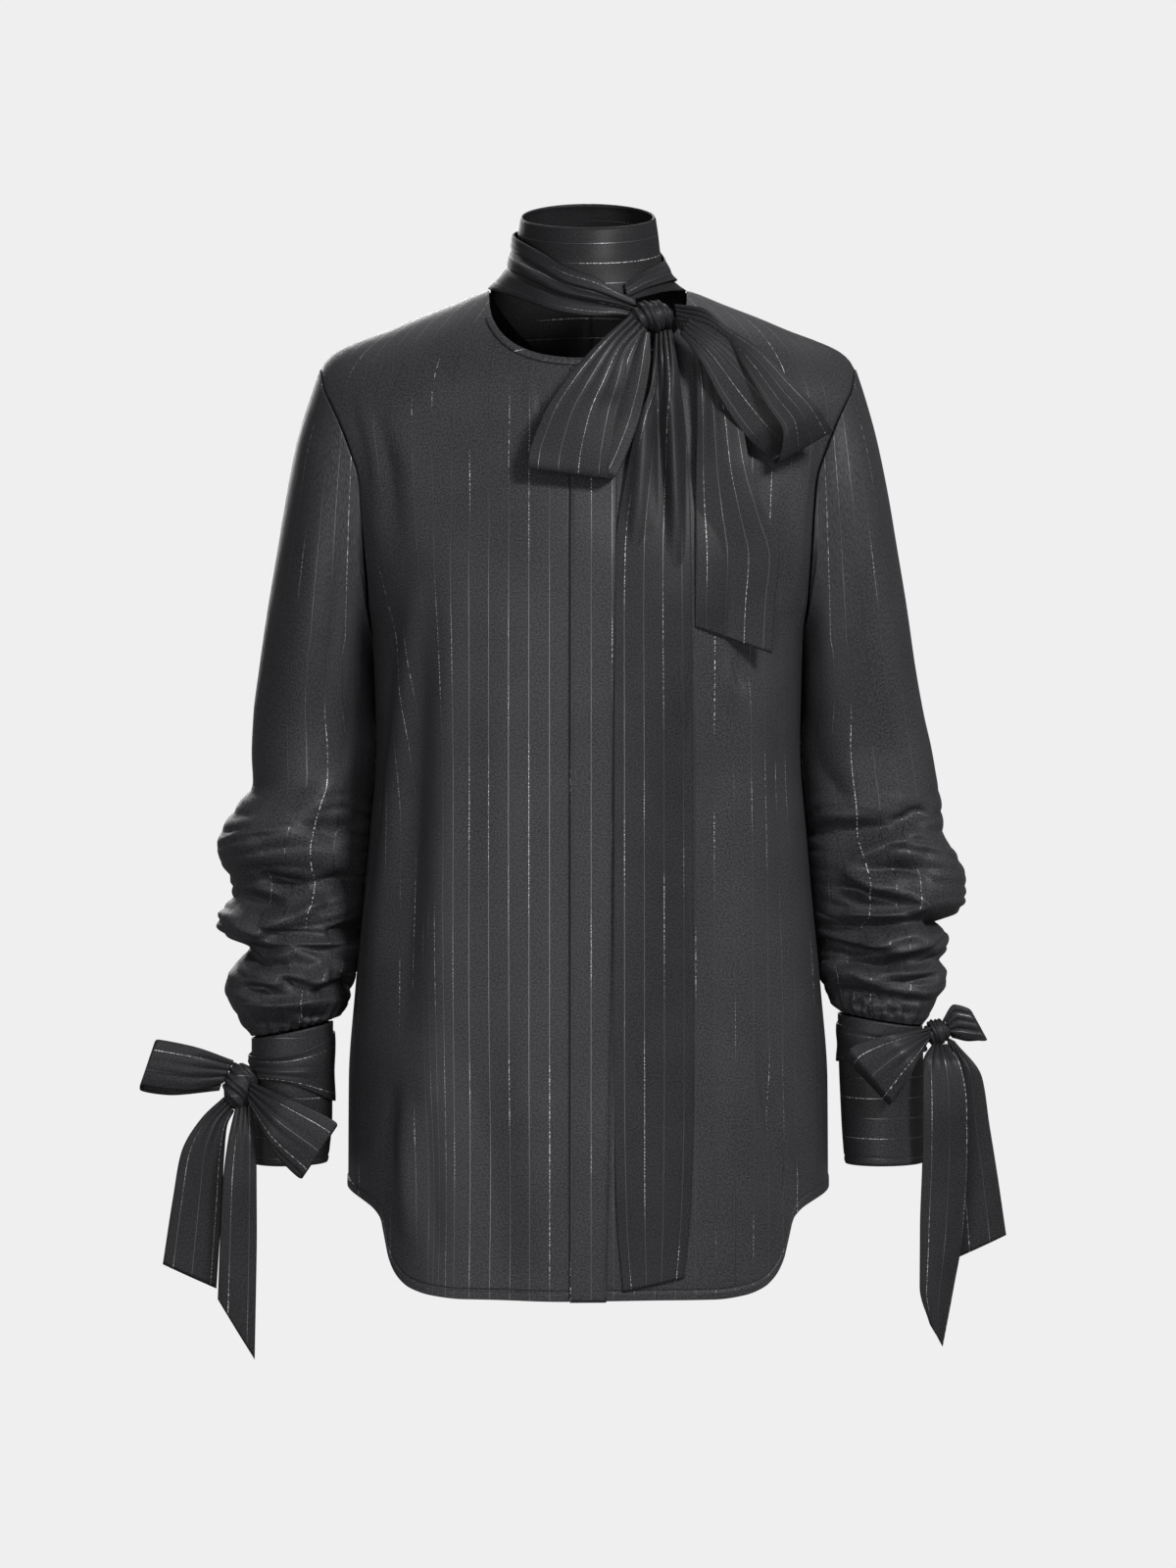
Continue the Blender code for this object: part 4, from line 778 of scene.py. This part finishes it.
def arm_tube(rings, front_folds, back_folds, side, turn, down):
    """A sleeve by the turn round the arm (0 outside, a quarter in front) and the ring's number.

    The plain rings are drawn to the armhole at the top. Folds and fine rucks stand out along
    the ring's own direction, folds where they face the side they are listed for."""
    turn, down = np.broadcast_arrays(turn, down)
    last = len(rings["front"]) - 1

    def plain(down):
        x, depth, z = ring_at(rings, turn, down)
        sway = curve(ARM_SWAY["ring"], ARM_SWAY["y"], down)
        return np.stack([x, sway - depth * np.sin(turn), z], axis=-1)

    to_seam = armhole(turn) - plain(0 * down)
    point = plain(down) + to_seam * (np.clip(1 - down / 3.5, 0, 1) ** 2)[..., None]
    x, z = point[..., 0], point[..., 2]
    faces_front, faces_back = (ease((sign * np.sin(turn) + 0.3) / 0.5) for sign in (1, -1))
    lifted = relief(front_folds, side * x, z) * faces_front + relief(back_folds, x, z) * faces_back
    phase = z / 11.5 + 0.5 * np.sin(turn + z / 38) + 0.4 * np.sin(2.3 * turn - z / 21)
    ruck = 1.5 * (np.abs(np.sin(np.pi * phase)) ** 0.6 - 0.65)
    ruck = ruck * (0.6 + 0.4 * np.sin(3 * turn + z / 16)) * ease((down - 8.5) / 2)
    gathered = (1 + 1.3 * ease((down - 7) / 3)) * ease(down / 1.5) * ease((last - down) / 1.6)
    crimp = 1.4 * np.sin(23 * turn + 2 * np.sin(3 * turn)) * ease((down - last + 2.8) / 2.0)
    tuck = -3.6 * ease((down - last + 0.9) / 0.9)
    out = np.stack([np.cos(turn), -np.sin(turn), 0.25 * np.sin(down * 1.7)], axis=-1)
    point = point + out * ((lifted + ruck) * gathered + crimp + tuck)[..., None]
    drawn_in = (3.0 + 3.4 * ease((9.5 - down) / 3)) * ease(down / 1.2) * ease((last - 1 - down) / 3)
    point[..., 0] += 1.1 - drawn_in * (1 - np.cos(turn)) / 2
    return point * np.array([side, 1, 1])


def sleeve_grain(rings, points, side, turn, plain_column=61):
    """The grain of a sleeve: where a point lies between its outer and inner line at its height.

    That share gives a turn round one plain ring, whose run of cloth is the measure across. Right
    beside either line the grid's own turn is used, as the share hardly changes there."""
    ring = np.concatenate([points, points[:1]])
    x, z = ring[..., 0] * side, ring[..., 2]
    outer, inner = (curve(rings[edge + "_z"], rings[edge + "_x"], z) for edge in ("outer", "inner"))
    share = np.clip((outer - x) / (outer - inner), 0, 1)
    around = np.append(turn[:, 0], np.pi)
    facing = np.where(around > 0, 1.0, -1.0)[:, None]
    run = run_along(ring[:, plain_column, :2])
    run -= np.interp(0, around, run)
    length = run_along(points.mean(axis=0))[None, :]
    from_lines = np.minimum(np.abs(around), np.pi - np.abs(around))[:, None]
    by_share = np.arccos(1 - 2 * share) * facing - around[:, None]
    turned = around[:, None] + by_share * ease((from_lines - 0.35) / 0.5)
    return np.stack([np.interp(turned, around, run), 0 * x - length], axis=-1)


SLEEVES = {
    "right": (SLEEVE_RIGHT, SLEEVE_FRONT_FOLDS_RIGHT, -1),
    "left": (SLEEVE_LEFT, SLEEVE_FRONT_FOLDS_LEFT, 1),
}
sleeve_satin = satin("sleeve_satin")
for word, (rings, front_folds, side) in SLEEVES.items():
    turn = np.linspace(-np.pi, np.pi, 153)[:-1, None]
    share = np.linspace(0, 1, 194)[None, :]
    down = (len(rings["front"]) - 1) * (0.72 * share + 0.28 * share**2)
    points = arm_tube(rings, front_folds, SLEEVE_BACK_FOLDS, side, turn, down)
    grain = sleeve_grain(rings, points, side, turn)
    sleeve = cloth(word + "_sleeve", points, grain, PANEL_CLOTH, out=side, closed=True)
    node, flat, sewn_to = "sleeve_" + word, (0.36, 0.56), ["back", "front_" + word]
    place(sleeve, sleeve_satin, "sleeve_satin", node, flat, "gathered", sewn_to, 0.165)

# The cuffs
# A plain deep band of doubled satin round each wrist, its stripes lying round the arm.
# Its rings are given as the sleeves' are.
CUFF_RIGHT = table(
    "outer_x outer_z inner_x inner_z front back",
    (257.5, -568.8, 195, -556.3, 31.6, 27), (257, -600, 195, -592, 31, 27),
    (256.5, -630, 195.5, -628, 31, 28), (256.5, -665, 199, -664, 31, 29),
)
CUFF_LEFT = table(
    "outer_x outer_z inner_x inner_z front back",
    (256, -559.8, 191, -549.8, 31.6, 27), (256.5, -595, 191.5, -588, 31, 27),
    (257, -630, 193.5, -628, 31, 28), (257.5, -664, 196.5, -665, 31, 29),
)
WRIST_Y = -6.0


def cuff_at(rings, side, turn, down):
    """A cuff by the turn round the wrist and the ring's number down it, softly rippled."""
    x, depth, z = ring_at(rings, turn, down)
    ripple = 0.5 * np.sin(3 * turn + 1.2 * down) * np.sin(np.pi * down / 3)
    x, y = x + ripple * np.cos(turn), WRIST_Y - (depth + ripple) * np.sin(turn)
    return np.stack([x, y, z], axis=-1) * np.array([side, 1, 1])


# depth 0.7 makes a darker copy of the same satin: painted shade on the cuffs
cuff_satin = satin("cuff_satin", stripe_shift=-1.35, depth=0.7)
for word, rings, side in (("right", CUFF_RIGHT, -1), ("left", CUFF_LEFT, 1)):
    turn = np.linspace(0, 2 * np.pi, 121)[:-1, None]
    down = np.linspace(0, 3, 60)[None, :]
    points = cuff_at(rings, side, turn, down + 0 * turn)
    above = points[..., 2] - points[:, -1:, 2]
    seam = -0.5 * np.exp(-(((above - 5.5) / 0.7) ** 2)) - 0.6 * ease((1.2 - above) / 1.2)
    points = points + normals(points, True) * (side * seam)[..., None]
    ring = np.concatenate([points, points[:1]])
    run = run_along(ring[:, 30])[:, None]
    grain = np.stack([ring[..., 2], run + 0 * ring[..., 2]], axis=-1)
    cuff = cloth(word + "_cuff", points, grain, 1.6, out=side, closed=True)
    node, flat = "cuff_" + word, (0.192, 0.108)
    place(cuff, cuff_satin, "cuff_satin", node, flat, "hung", ["sleeve_" + word])

# The collar
# A high soft band of doubled satin sewn to the back of the neckline and free in front of it.
# Its stripes lie round the neck, and its halves meet in a seam at the middle of the back.
NECK_MIDDLE_Y = 8.0
# By height, the neck's half width and its depth before and behind the middle
NECK = table(
    "z half front back",
    (-50, 70, 76, 79), (-20, 66, 74, 73), (2, 60.5, 72, 68), (9, 58.5, 71, 66.5),
    (22, 55.5, 69, 63), (31, 54.5, 67, 61), (43, 53.5, 65, 57), (56, 52, 62, 54), (76, 49, 60, 49),
)
RIM_Z = 59.0
RIM_TILT = 14.0
COLLAR_FRONT_Z = -14.0


def neck(angle, z):
    """The neck's surface at an angle, 0 at the front and a quarter turn at +X, and a height."""
    half, front, back = (curve(NECK["z"], NECK[name], z) for name in ("half", "front", "back"))
    depth = np.where(np.cos(angle) > 0, front, back)
    x, y = half * np.sin(angle), NECK_MIDDLE_Y - depth * np.cos(angle)
    return np.stack([x, y, z + 0 * angle], axis=-1)


def collar_edge(angle):
    """The collar's lower edge: the back neck seam, then free from one neck point to the other."""
    x = NECK_HALF_WIDTH * np.sin(angle)
    seam_z = back_neck(x)
    tucked = ease(-np.cos(angle) / 0.3)
    inside = np.stack([0 * x, 0.4 - 2.4 * tucked, 0.4 - 5.4 * tucked], axis=-1)
    seam = body(angle_at(x, seam_z, True), seam_z) + inside
    free_z = NECK_POINT_Z + 0.4 + (COLLAR_FRONT_Z - NECK_POINT_Z) * np.cos(angle) ** 2
    free = neck(angle, free_z)
    to_point = NECK_HALF_WIDTH / curve(NECK["z"], NECK["half"], NECK_POINT_Z)
    free[..., 0] *= 1 + (to_point - 1) * np.abs(np.sin(angle)) ** 9
    return np.where((np.cos(angle) < 0)[..., None], seam, free)


def collar_top(angle):
    """The height of the collar's rim, which leans forward."""
    return RIM_Z - RIM_TILT * np.cos(angle)


def collar(angle, z):
    """The collar's surface: the neck's, drawn out to the seam near its lower edge."""
    angle, z = np.broadcast_arrays(angle, z)
    edge = collar_edge(angle)
    share = np.clip((z - edge[..., 2]) / (collar_top(angle) - edge[..., 2]), 0, 1)
    pull = (edge - neck(angle, edge[..., 2])) * ((1 - share) ** 5)[..., None]
    pull[..., 2] = 0
    return neck(angle, z) + pull


collar_angles = np.radians(np.linspace(-180, 180, 181))[:-1, None]
collar_share = np.linspace(0, 1, 56)[None, :]
low_z = collar_edge(collar_angles)[..., 2]
top_z = collar_top(collar_angles)
collar_points = collar(collar_angles, top_z + (low_z - top_z) * collar_share)
collar_soft = 0.5 * np.sin(4 * collar_angles + 5 * collar_share) * np.sin(np.pi * collar_share)
collar_seam = -0.8 * np.exp(-(((180 - np.abs(np.degrees(collar_angles))) / 1.6) ** 2))
collar_roll = -0.9 * ease((0.035 - collar_share) / 0.035)
collar_out = (collar_soft + collar_seam + collar_roll)[..., None]
collar_points = collar_points - normals(collar_points, True) * collar_out
collar_ring = np.concatenate([collar_points, collar_points[:1]])
drop = run_along(collar_ring.swapaxes(0, 1)).T
collar_run = np.radians(np.linspace(-180, 180, 181))[:, None] * 62
collar_grain = np.stack([drop, collar_run + 0 * drop], axis=-1)
collar_piece = cloth("collar", collar_points, collar_grain, 1.6, out=-1, closed=True)
# depth 0.45 makes a darker copy of the same satin: painted shade on the collar
collar_satin = satin("collar_satin", stripe_shift=-4.7, depth=0.45)
flat, sewn_to = (0.40, 0.13), ["back"]
place(collar_piece, collar_satin, "collar_satin", "collar_band", flat, "hung", sewn_to, 0.033)

# The tie round the neck
# One long doubled strip of the same satin. From the knot it goes under the far side of the
# collar, round the back, and comes down across the front in soft folds.
# Angles are in degrees from the front, through +X; out is the distance from the collar.
TIE_WRAP = table(
    "angle top low out",
    (26, 3, -8, 2.0), (50, 15, 2, 2.0), (90, 27, 10, 2.0), (135, 47, 2, 2.0), (180, 54, -6, 2.0),
    (225, 52, -4, 2.2), (270, 46, 4, 3.2), (300, 37, -4, 4.2), (325, 26, -13, 4.8),
    (345, 14, -20, 5.6), (365, 6, -23, 6.6), (378, -3, -22, 7.6), (388, -10, -24, 11.6),
)


def tie_wrap(angle, across):
    """The wound tie by the angle and the share from its upper to its lower edge.

    It lies outside the collar. In front, two sharp creases with a soft ridge beside each run
    along it."""
    degrees = np.degrees(angle)
    angles = TIE_WRAP["angle"]
    top, low, out = (curve(angles, TIE_WRAP[of], degrees) for of in ("top", "low", "out"))
    point = collar(angle, top + (low - top) * across)
    away = point - np.array([0, NECK_MIDDLE_Y, 0])
    away[..., 2] = 0
    away /= np.linalg.norm(away, axis=-1, keepdims=True)

    def bell(middle, width):
        return np.exp(-(((across - middle) / width) ** 2))

    front = ease((degrees - 250) / 60)
    first = 0.30 + 0.10 * ease((degrees - 290) / 90)
    second = 0.62 + 0.06 * ease((degrees - 300) / 80)
    creases = -2.6 * bell(first, 0.05) - 2.2 * bell(second, 0.045)
    ridges = 1.8 * bell(first + 0.12, 0.07) + 1.5 * bell(second - 0.1, 0.08)
    soft = 0.5 * np.sin(across * 9 + degrees / 22) * (1 - front)
    edge = -0.8 * (ease((0.04 - across) / 0.04) + ease((across - 0.96) / 0.04))
    return point + away * (out + 1.6 + (creases + ridges) * front + soft + edge)[..., None]


def strip_grain(points, width):
    """The grain of a strip: the share across it times its width, and the run along its middle."""
    run = run_along(points[:, points.shape[1] // 2])[:, None]
    across = np.linspace(0, width, points.shape[1])[None, :]
    return np.stack([across + 0 * run, run + 0 * across], axis=-1)


TIE_WIDTH = 62
# depth 0.6 makes a darker copy of the same satin: painted shade on the tie, its bows and the cuff
# strips
tie_satin = satin("tie_satin", stripe_shift=6.0, depth=0.6)
wrap_angles = np.radians(np.linspace(TIE_WRAP["angle"][0], TIE_WRAP["angle"][-1], 200))[:, None]
wrap_points = tie_wrap(wrap_angles, np.linspace(0, 1, 49)[None, :])
wrap_piece = cloth("neck_wrap", wrap_points, strip_grain(wrap_points, TIE_WIDTH), 1.1, out=-1)
flat, sewn_to = (0.062, 0.44), ["collar_band"]
place(wrap_piece, tie_satin, "tie_satin", "tie_wrap", flat, "draped", sewn_to, 0.021)

# The bows
# The tie's ends are knotted in a bow below the collar, to the wearer's left, with two hanging
# ends. A shorter strip is knotted the same way round each cuff. Pleats run out of the knots.
# Each knot: its node, its middle, its half sizes and how far it leans.
KNOTS = {
    "tie_knot": ((47.8, -80.5, -23.6), (18, 14, 12.5), 0.5),
    "cuff_knot_right": ((-264.5, -29, -603.5), (14, 11.5, 19), -0.6),
    "cuff_knot_left": ((265.8, -22, -563.5), (11, 10.5, 10.5), 0.4),
}


def knot(name, node):
    """A knot: a closed ball of cloth with slanting wraps round it.

    The wraps are rounded ridges across the slant, with sharp creases between them."""
    centre, half, lean = KNOTS[node]
    turns = np.linspace(0, 2 * np.pi, 97)[:-1, None]
    along = np.linspace(0, np.pi, 62)[None, 1:-1]
    x, ring = -np.cos(along) + 0 * turns, np.sin(along) + 0 * turns
    y, z = ring * np.cos(turns), ring * np.sin(turns)
    slope = 0.9 + lean * 0.4
    slant = 2.1 * (x * np.sin(slope) + z * np.cos(slope)) + 0.35 * y
    creases = 0.16 * (1 - np.abs(np.cos(slant * 2.2 + 0.6)) ** 0.7)
    wraps = (1 - creases - 0.05 * np.sin(slant * 9 + 3 * x))[..., None]
    points = np.stack([x + 0.2 * lean * z, y, z - lean * 0.35 * x * ring], axis=-1) * wraps / 1.02
    grain = np.concatenate([points, points[:1]])[..., [2, 0]] * np.array([half[2] + 0.001, half[0]])
    placed = points * np.array(half) + np.array(centre)
    made = cloth(name, placed, grain, 0.9, out=-1, closed=True)
    made.modifiers.clear()
    place(made, tie_satin, "tie_satin", node)


knot("neck_knot", "tie_knot")
knot("right_cuff_knot", "cuff_knot_right")
knot("left_cuff_knot", "cuff_knot_left")


def clear_of(points, centre, half, gap):
    """The points, with those inside a knot moved straight out to its surface."""
    away = points - np.array(centre)
    size = np.linalg.norm(away / (np.array(half) + gap), axis=-1, keepdims=True)
    return np.where(size < 1, np.array(centre) + away / np.maximum(size, 0.05), points)


# By the share across a ribbon, how far each pleat stands out at the knot and its half width
PLEATS = table(
    "at depth width",
    (0.10, 0.8, 0.07), (0.21, -1.3, 0.05), (0.33, 0.9, 0.07), (0.45, -1.0, 0.04), (0.58, 1.0, 0.08),
    (0.70, -1.4, 0.05), (0.84, 0.9, 0.08),
)


def ribbon(rows, knot_node, folds, waves, above, down, across):
    """A tie's end or loop by the row down its table and the share across from edge a to edge b.

    Pleats run out of the knot and fade, waves says how deep they are there. Folds listed by x
    and z add to them. above lays it on the front: no point is nearer the cloth."""
    values = {name: curve(np.arange(len(rows["y"])), column, down) for name, column in rows.items()}
    x = values["a_x"] + (values["b_x"] - values["a_x"]) * across
    z = values["a_z"] + (values["b_z"] - values["a_z"]) * across
    centre, half, _ = KNOTS[knot_node]
    near = np.exp(-((np.hypot(x - centre[0], z - centre[2]) / (2.1 * half[0])) ** 1.3))
    pleats = 0 * x
    for at, depth, width in zip(PLEATS["at"], PLEATS["depth"], PLEATS["width"]):
        pleats = pleats + depth * np.exp(-(((across - at) / width) ** 2))
    belly = 1.6 * np.sin(np.pi * across) * (1 - near) + 0.6 * np.sin(down * 1.1 + across * 2.4)
    y = values["y"] - waves * near * pleats - belly
    if folds is not None:
        y = y - relief(folds, x, z)
    if above is not None:
        clear_y = front_at(x, z)[..., 1] - above - 0.8 * belly
        y = np.minimum(y, clear_y - waves * near * (pleats + 1.4))
    return clear_of(np.stack([x, y, z], axis=-1), centre, half, 0.2)


# A row is a line across the ribbon, from edge a to edge b, at one y. A loop's rows go out along
# its front and come back behind, and an end's rows go down.
TIE_LOOP_RIGHT = table(
    "a_x a_z b_x b_z y",
    (32, -22.5, 44, -34.5, -90), (8.5, -44, 30.5, -52.5, -101), (-14.5, -70, 26, -76.5, -114),
    (-32.5, -97.5, 21.5, -96, -124), (-43.5, -126.5, 16, -132.5, -130), (-45, -138, 15, -146, -127),
    (-43, -135, 20.5, -143.5, -119), (-22, -102.5, 38.5, -99, -109), (0, -65.5, 46.5, -54, -100),
    (29, -32.5, 46, -36, -93),
)
TIE_LOOP_LEFT = table(
    "a_x a_z b_x b_z y",
    (64.5, -15, 66, -27, -86), (84, -18, 86, -34, -95), (103, -33, 103.5, -44, -101),
    (127.5, -49.5, 116.5, -64.5, -109), (151, -73.5, 132, -91, -113),
    (168.5, -91, 144.5, -113, -111), (182, -109.5, 140, -134, -101), (176, -109, 136, -131, -93),
    (157, -91, 117, -113.5, -103), (131, -65.5, 99, -87.5, -105), (100.5, -40, 83, -57, -101),
    (74.5, -25.5, 68.5, -37.5, -92),
)
TIE_TAIL_LONG = table(
    "a_x a_z b_x b_z y",
    (50, -35, 62.5, -33.5, -82), (47, -72.5, 68.5, -74, -92), (36.5, -104.5, 72, -106, -103),
    (29, -138.5, 75, -139, -113), (20, -197.5, 76, -197.5, -122), (19, -255.5, 76.5, -255.5, -122),
    (19, -342, 77.5, -342, -122), (19, -443, 78, -443, -122), (19, -587.5, 78.5, -587.5, -122),
    (21, -685, 76, -685, -122), (26, -747.5, 71, -737.5, -122),
)
TIE_TAIL_SHORT = table(
    "a_x a_z b_x b_z y",
    (62.5, -24.5, 70, -28, -78), (73, -41.5, 89.5, -43, -88), (79, -54, 98, -55, -90),
    (81, -77, 108, -78.5, -95), (81, -101.5, 114, -102, -100), (80, -136.5, 120.5, -137.5, -110),
    (79.5, -170.5, 131.5, -171, -112), (79.5, -203.5, 142, -204.5, -112),
    (79.5, -236.5, 138.5, -238, -112), (79.5, -255, 136.5, -275, -112),
)
OUTER_LOOP_RIGHT = table(
    "a_x a_z b_x b_z y",
    (-269, -584, -277, -601, -35), (-297.5, -572.5, -303.5, -605.5, -46),
    (-325, -567, -338.5, -601.5, -46), (-328.5, -572, -339.5, -606, -40),
    (-308.5, -580.5, -316, -610.5, -33), (-275, -590, -280, -607, -33),
)
INNER_LOOP_RIGHT = table(
    "a_x a_z b_x b_z y",
    (-256, -600, -258.5, -614, -38), (-221.5, -612.5, -239, -645, -57),
    (-189.5, -629.5, -215.5, -669, -57), (-191.5, -633, -218, -672, -50),
    (-218.5, -623, -237, -653.5, -47), (-254, -605, -256, -616, -36),
)
CUFF_TAIL_SHORT_RIGHT = table(
    "a_x a_z b_x b_z y",
    (-276.5, -612, -269, -622.5, -31), (-294, -628.5, -274.5, -634.5, -30),
    (-309.5, -654.5, -277, -658.5, -28), (-316.5, -691, -279, -694.5, -25),
    (-324.5, -741, -283.5, -759.5, -22),
)
CUFF_TAIL_LONG_RIGHT = table(
    "a_x a_z b_x b_z y",
    (-266.5, -615, -255.5, -617, -33), (-273, -644.5, -252, -646.5, -40),
    (-276.5, -670.5, -251.5, -672, -40), (-279, -708, -251.5, -711.5, -38),
    (-281.5, -766, -253.5, -812, -35),
)
OUTER_LOOP_LEFT = table(
    "a_x a_z b_x b_z y",
    (269.5, -555, 276.5, -564, -25), (278.5, -542, 287, -568.5, -26), (289, -545, 302, -570, -25),
    (292.5, -548.5, 304, -569.5, -19), (282, -547, 290.5, -571, -15),
    (272.5, -559, 277.5, -568, -18),
)
INNER_LOOP_LEFT = table(
    "a_x a_z b_x b_z y",
    (261, -559, 259.5, -568, -30), (225, -563, 243.5, -591, -56), (198, -572.5, 230.5, -612.5, -57),
    (194, -580.5, 228, -616, -50), (218.5, -579.5, 240, -601.5, -47), (257, -563, 257, -570, -31),
)
CUFF_TAIL_LONG_LEFT = table(
    "a_x a_z b_x b_z y",
    (262, -572, 272.5, -572, -29), (254, -585, 282.5, -587, -41), (253.5, -618, 287.5, -618, -44),
    (253.5, -654.5, 288, -654.5, -42), (252, -711, 285, -711, -40), (252, -755, 277.5, -758, -38),
    (260, -784.5, 269.5, -801.5, -37),
)
CUFF_TAIL_SHORT_LEFT = table(
    "a_x a_z b_x b_z y",
    (274, -567.5, 279, -570.5, -22), (274.5, -593.5, 300, -597.5, -23),
    (275.5, -634.5, 306, -634.5, -23), (278.5, -671.5, 312, -671.5, -23),
    (283, -735.5, 319, -718.5, -22),
)
TAIL_FOLDS = table(
    "ax az bx bz cx cz depth width",
    (54, -46, 52, -95, 56, -190, -7, 4.5), (60, -46, 62, -100, 67, -210, 5.5, 5),
    (69, -60, 73, -120, 75, -230, -8, 5), (46, -60, 40, -115, 33, -220, 5, 6),
    (62, -200, 60, -320, 58, -460, 1.5, 8), (34, -230, 32, -420, 34, -640, -1.2, 7),
    (50, -420, 52, -560, 48, -700, 1.2, 8),
)
# Each ribbon: its node, its table, its cut width, the flat area that shows, and its grid's size
RIBBONS = {
    "neck_bow_right_loop": ("tie_loop_right", TIE_LOOP_RIGHT, TIE_WIDTH, 0.0145, 150, 40),
    "neck_bow_left_loop": ("tie_loop_left", TIE_LOOP_LEFT, TIE_WIDTH, 0.0105, 150, 40),
    "neck_bow_long_end": ("tie_tail_long", TIE_TAIL_LONG, TIE_WIDTH, 0.043, 260, 48),
    "neck_bow_short_end": ("tie_tail_short", TIE_TAIL_SHORT, TIE_WIDTH, 0.0135, 120, 44),
    "right_cuff_bow_outer_loop": ("cuff_loop_outer_right", OUTER_LOOP_RIGHT, 36, 0.0045, 90, 28),
    "right_cuff_bow_inner_loop": ("cuff_loop_inner_right", INNER_LOOP_RIGHT, 44, 0.006, 90, 28),
    "right_cuff_bow_short_end": (
        "cuff_tail_short_right", CUFF_TAIL_SHORT_RIGHT, 44, 0.0056, 80, 28,
    ),
    "right_cuff_bow_long_end": ("cuff_tail_long_right", CUFF_TAIL_LONG_RIGHT, 30, 0.005, 90, 24),
    "left_cuff_bow_outer_loop": ("cuff_loop_outer_left", OUTER_LOOP_LEFT, 30, 0.0016, 80, 24),
    "left_cuff_bow_inner_loop": ("cuff_loop_inner_left", INNER_LOOP_LEFT, 46, 0.0052, 90, 28),
    "left_cuff_bow_long_end": ("cuff_tail_long_left", CUFF_TAIL_LONG_LEFT, 40, 0.0082, 110, 28),
    "left_cuff_bow_short_end": ("cuff_tail_short_left", CUFF_TAIL_SHORT_LEFT, 36, 0.0055, 90, 24),
}
for name, (node, rows, width, area, down_count, across_count) in RIBBONS.items():
    of_neck, is_end = node.startswith("tie"), "tail" in node
    knot_node = "tie_knot" if of_neck else "cuff_knot_" + node.split("_")[-1]
    folds = TAIL_FOLDS if node == "tie_tail_long" else None
    waves = 2.4 if of_neck and is_end else 1.5
    above = (1.4 if is_end else 4.0) if of_neck else None
    down = np.linspace(0, len(rows["y"]) - 1, down_count)[:, None]
    across = np.linspace(0, 1, across_count)[None, :]
    points = ribbon(rows, knot_node, folds, waves, above, down, across)
    grain = strip_grain(points, width)
    flat = (width * MM, round(float(grain[..., 1].max()) * MM, 3))
    piece = cloth(name, points, grain, 1.0, offset=0)
    place(piece, tie_satin, "tie_satin", node, flat, "draped", [knot_node], area)

# The strip round each cuff: its ring table, its side, its height, its half width at the knot and
# opposite it, and the flat area that shows
CUFF_WRAPS = {
    "right": (CUFF_RIGHT, -1, -591.0, 9.0, 27.0, 0.0084),
    "left": (CUFF_LEFT, 1, -572.0, 7.0, 15.0, 0.006),
}
KNOT_TURN = 0.62
CUFF_TIE_WIDTH = 44
for word, (rings, side, middle, narrow, wide, area) in CUFF_WRAPS.items():
    turn = np.linspace(0, 2 * np.pi, 121)[:-1, None]
    across = np.linspace(0, 1, 31)[None, :]
    spread = narrow + (wide - narrow) * ease((1 - np.cos(turn - KNOT_TURN)) / 2)
    points = cuff_at(rings, side, turn, 1 + 0 * across + 0 * turn)
    points[..., 2] = middle + spread * (1 - 2 * across)
    near_knot = ease(np.cos(turn - KNOT_TURN) + 0.3)
    pleats = 0.7 * np.abs(np.cos(across * np.pi * 3.5)) * near_knot
    lift = 1.9 + pleats + 0.4 * np.sin(across * 8 + 2 * turn)
    points = points + normals(points, True) * (side * lift)[..., None]
    grain = strip_grain(np.concatenate([points, points[:1]]), CUFF_TIE_WIDTH)
    wrap = cloth(word + "_cuff_wrap", points, grain, 1.0, out=side, closed=True)
    flat = (CUFF_TIE_WIDTH * MM, 0.20)
    place(wrap, tie_satin, "tie_satin", "cuff_wrap_" + word, flat, "draped", ["cuff_" + word], area)
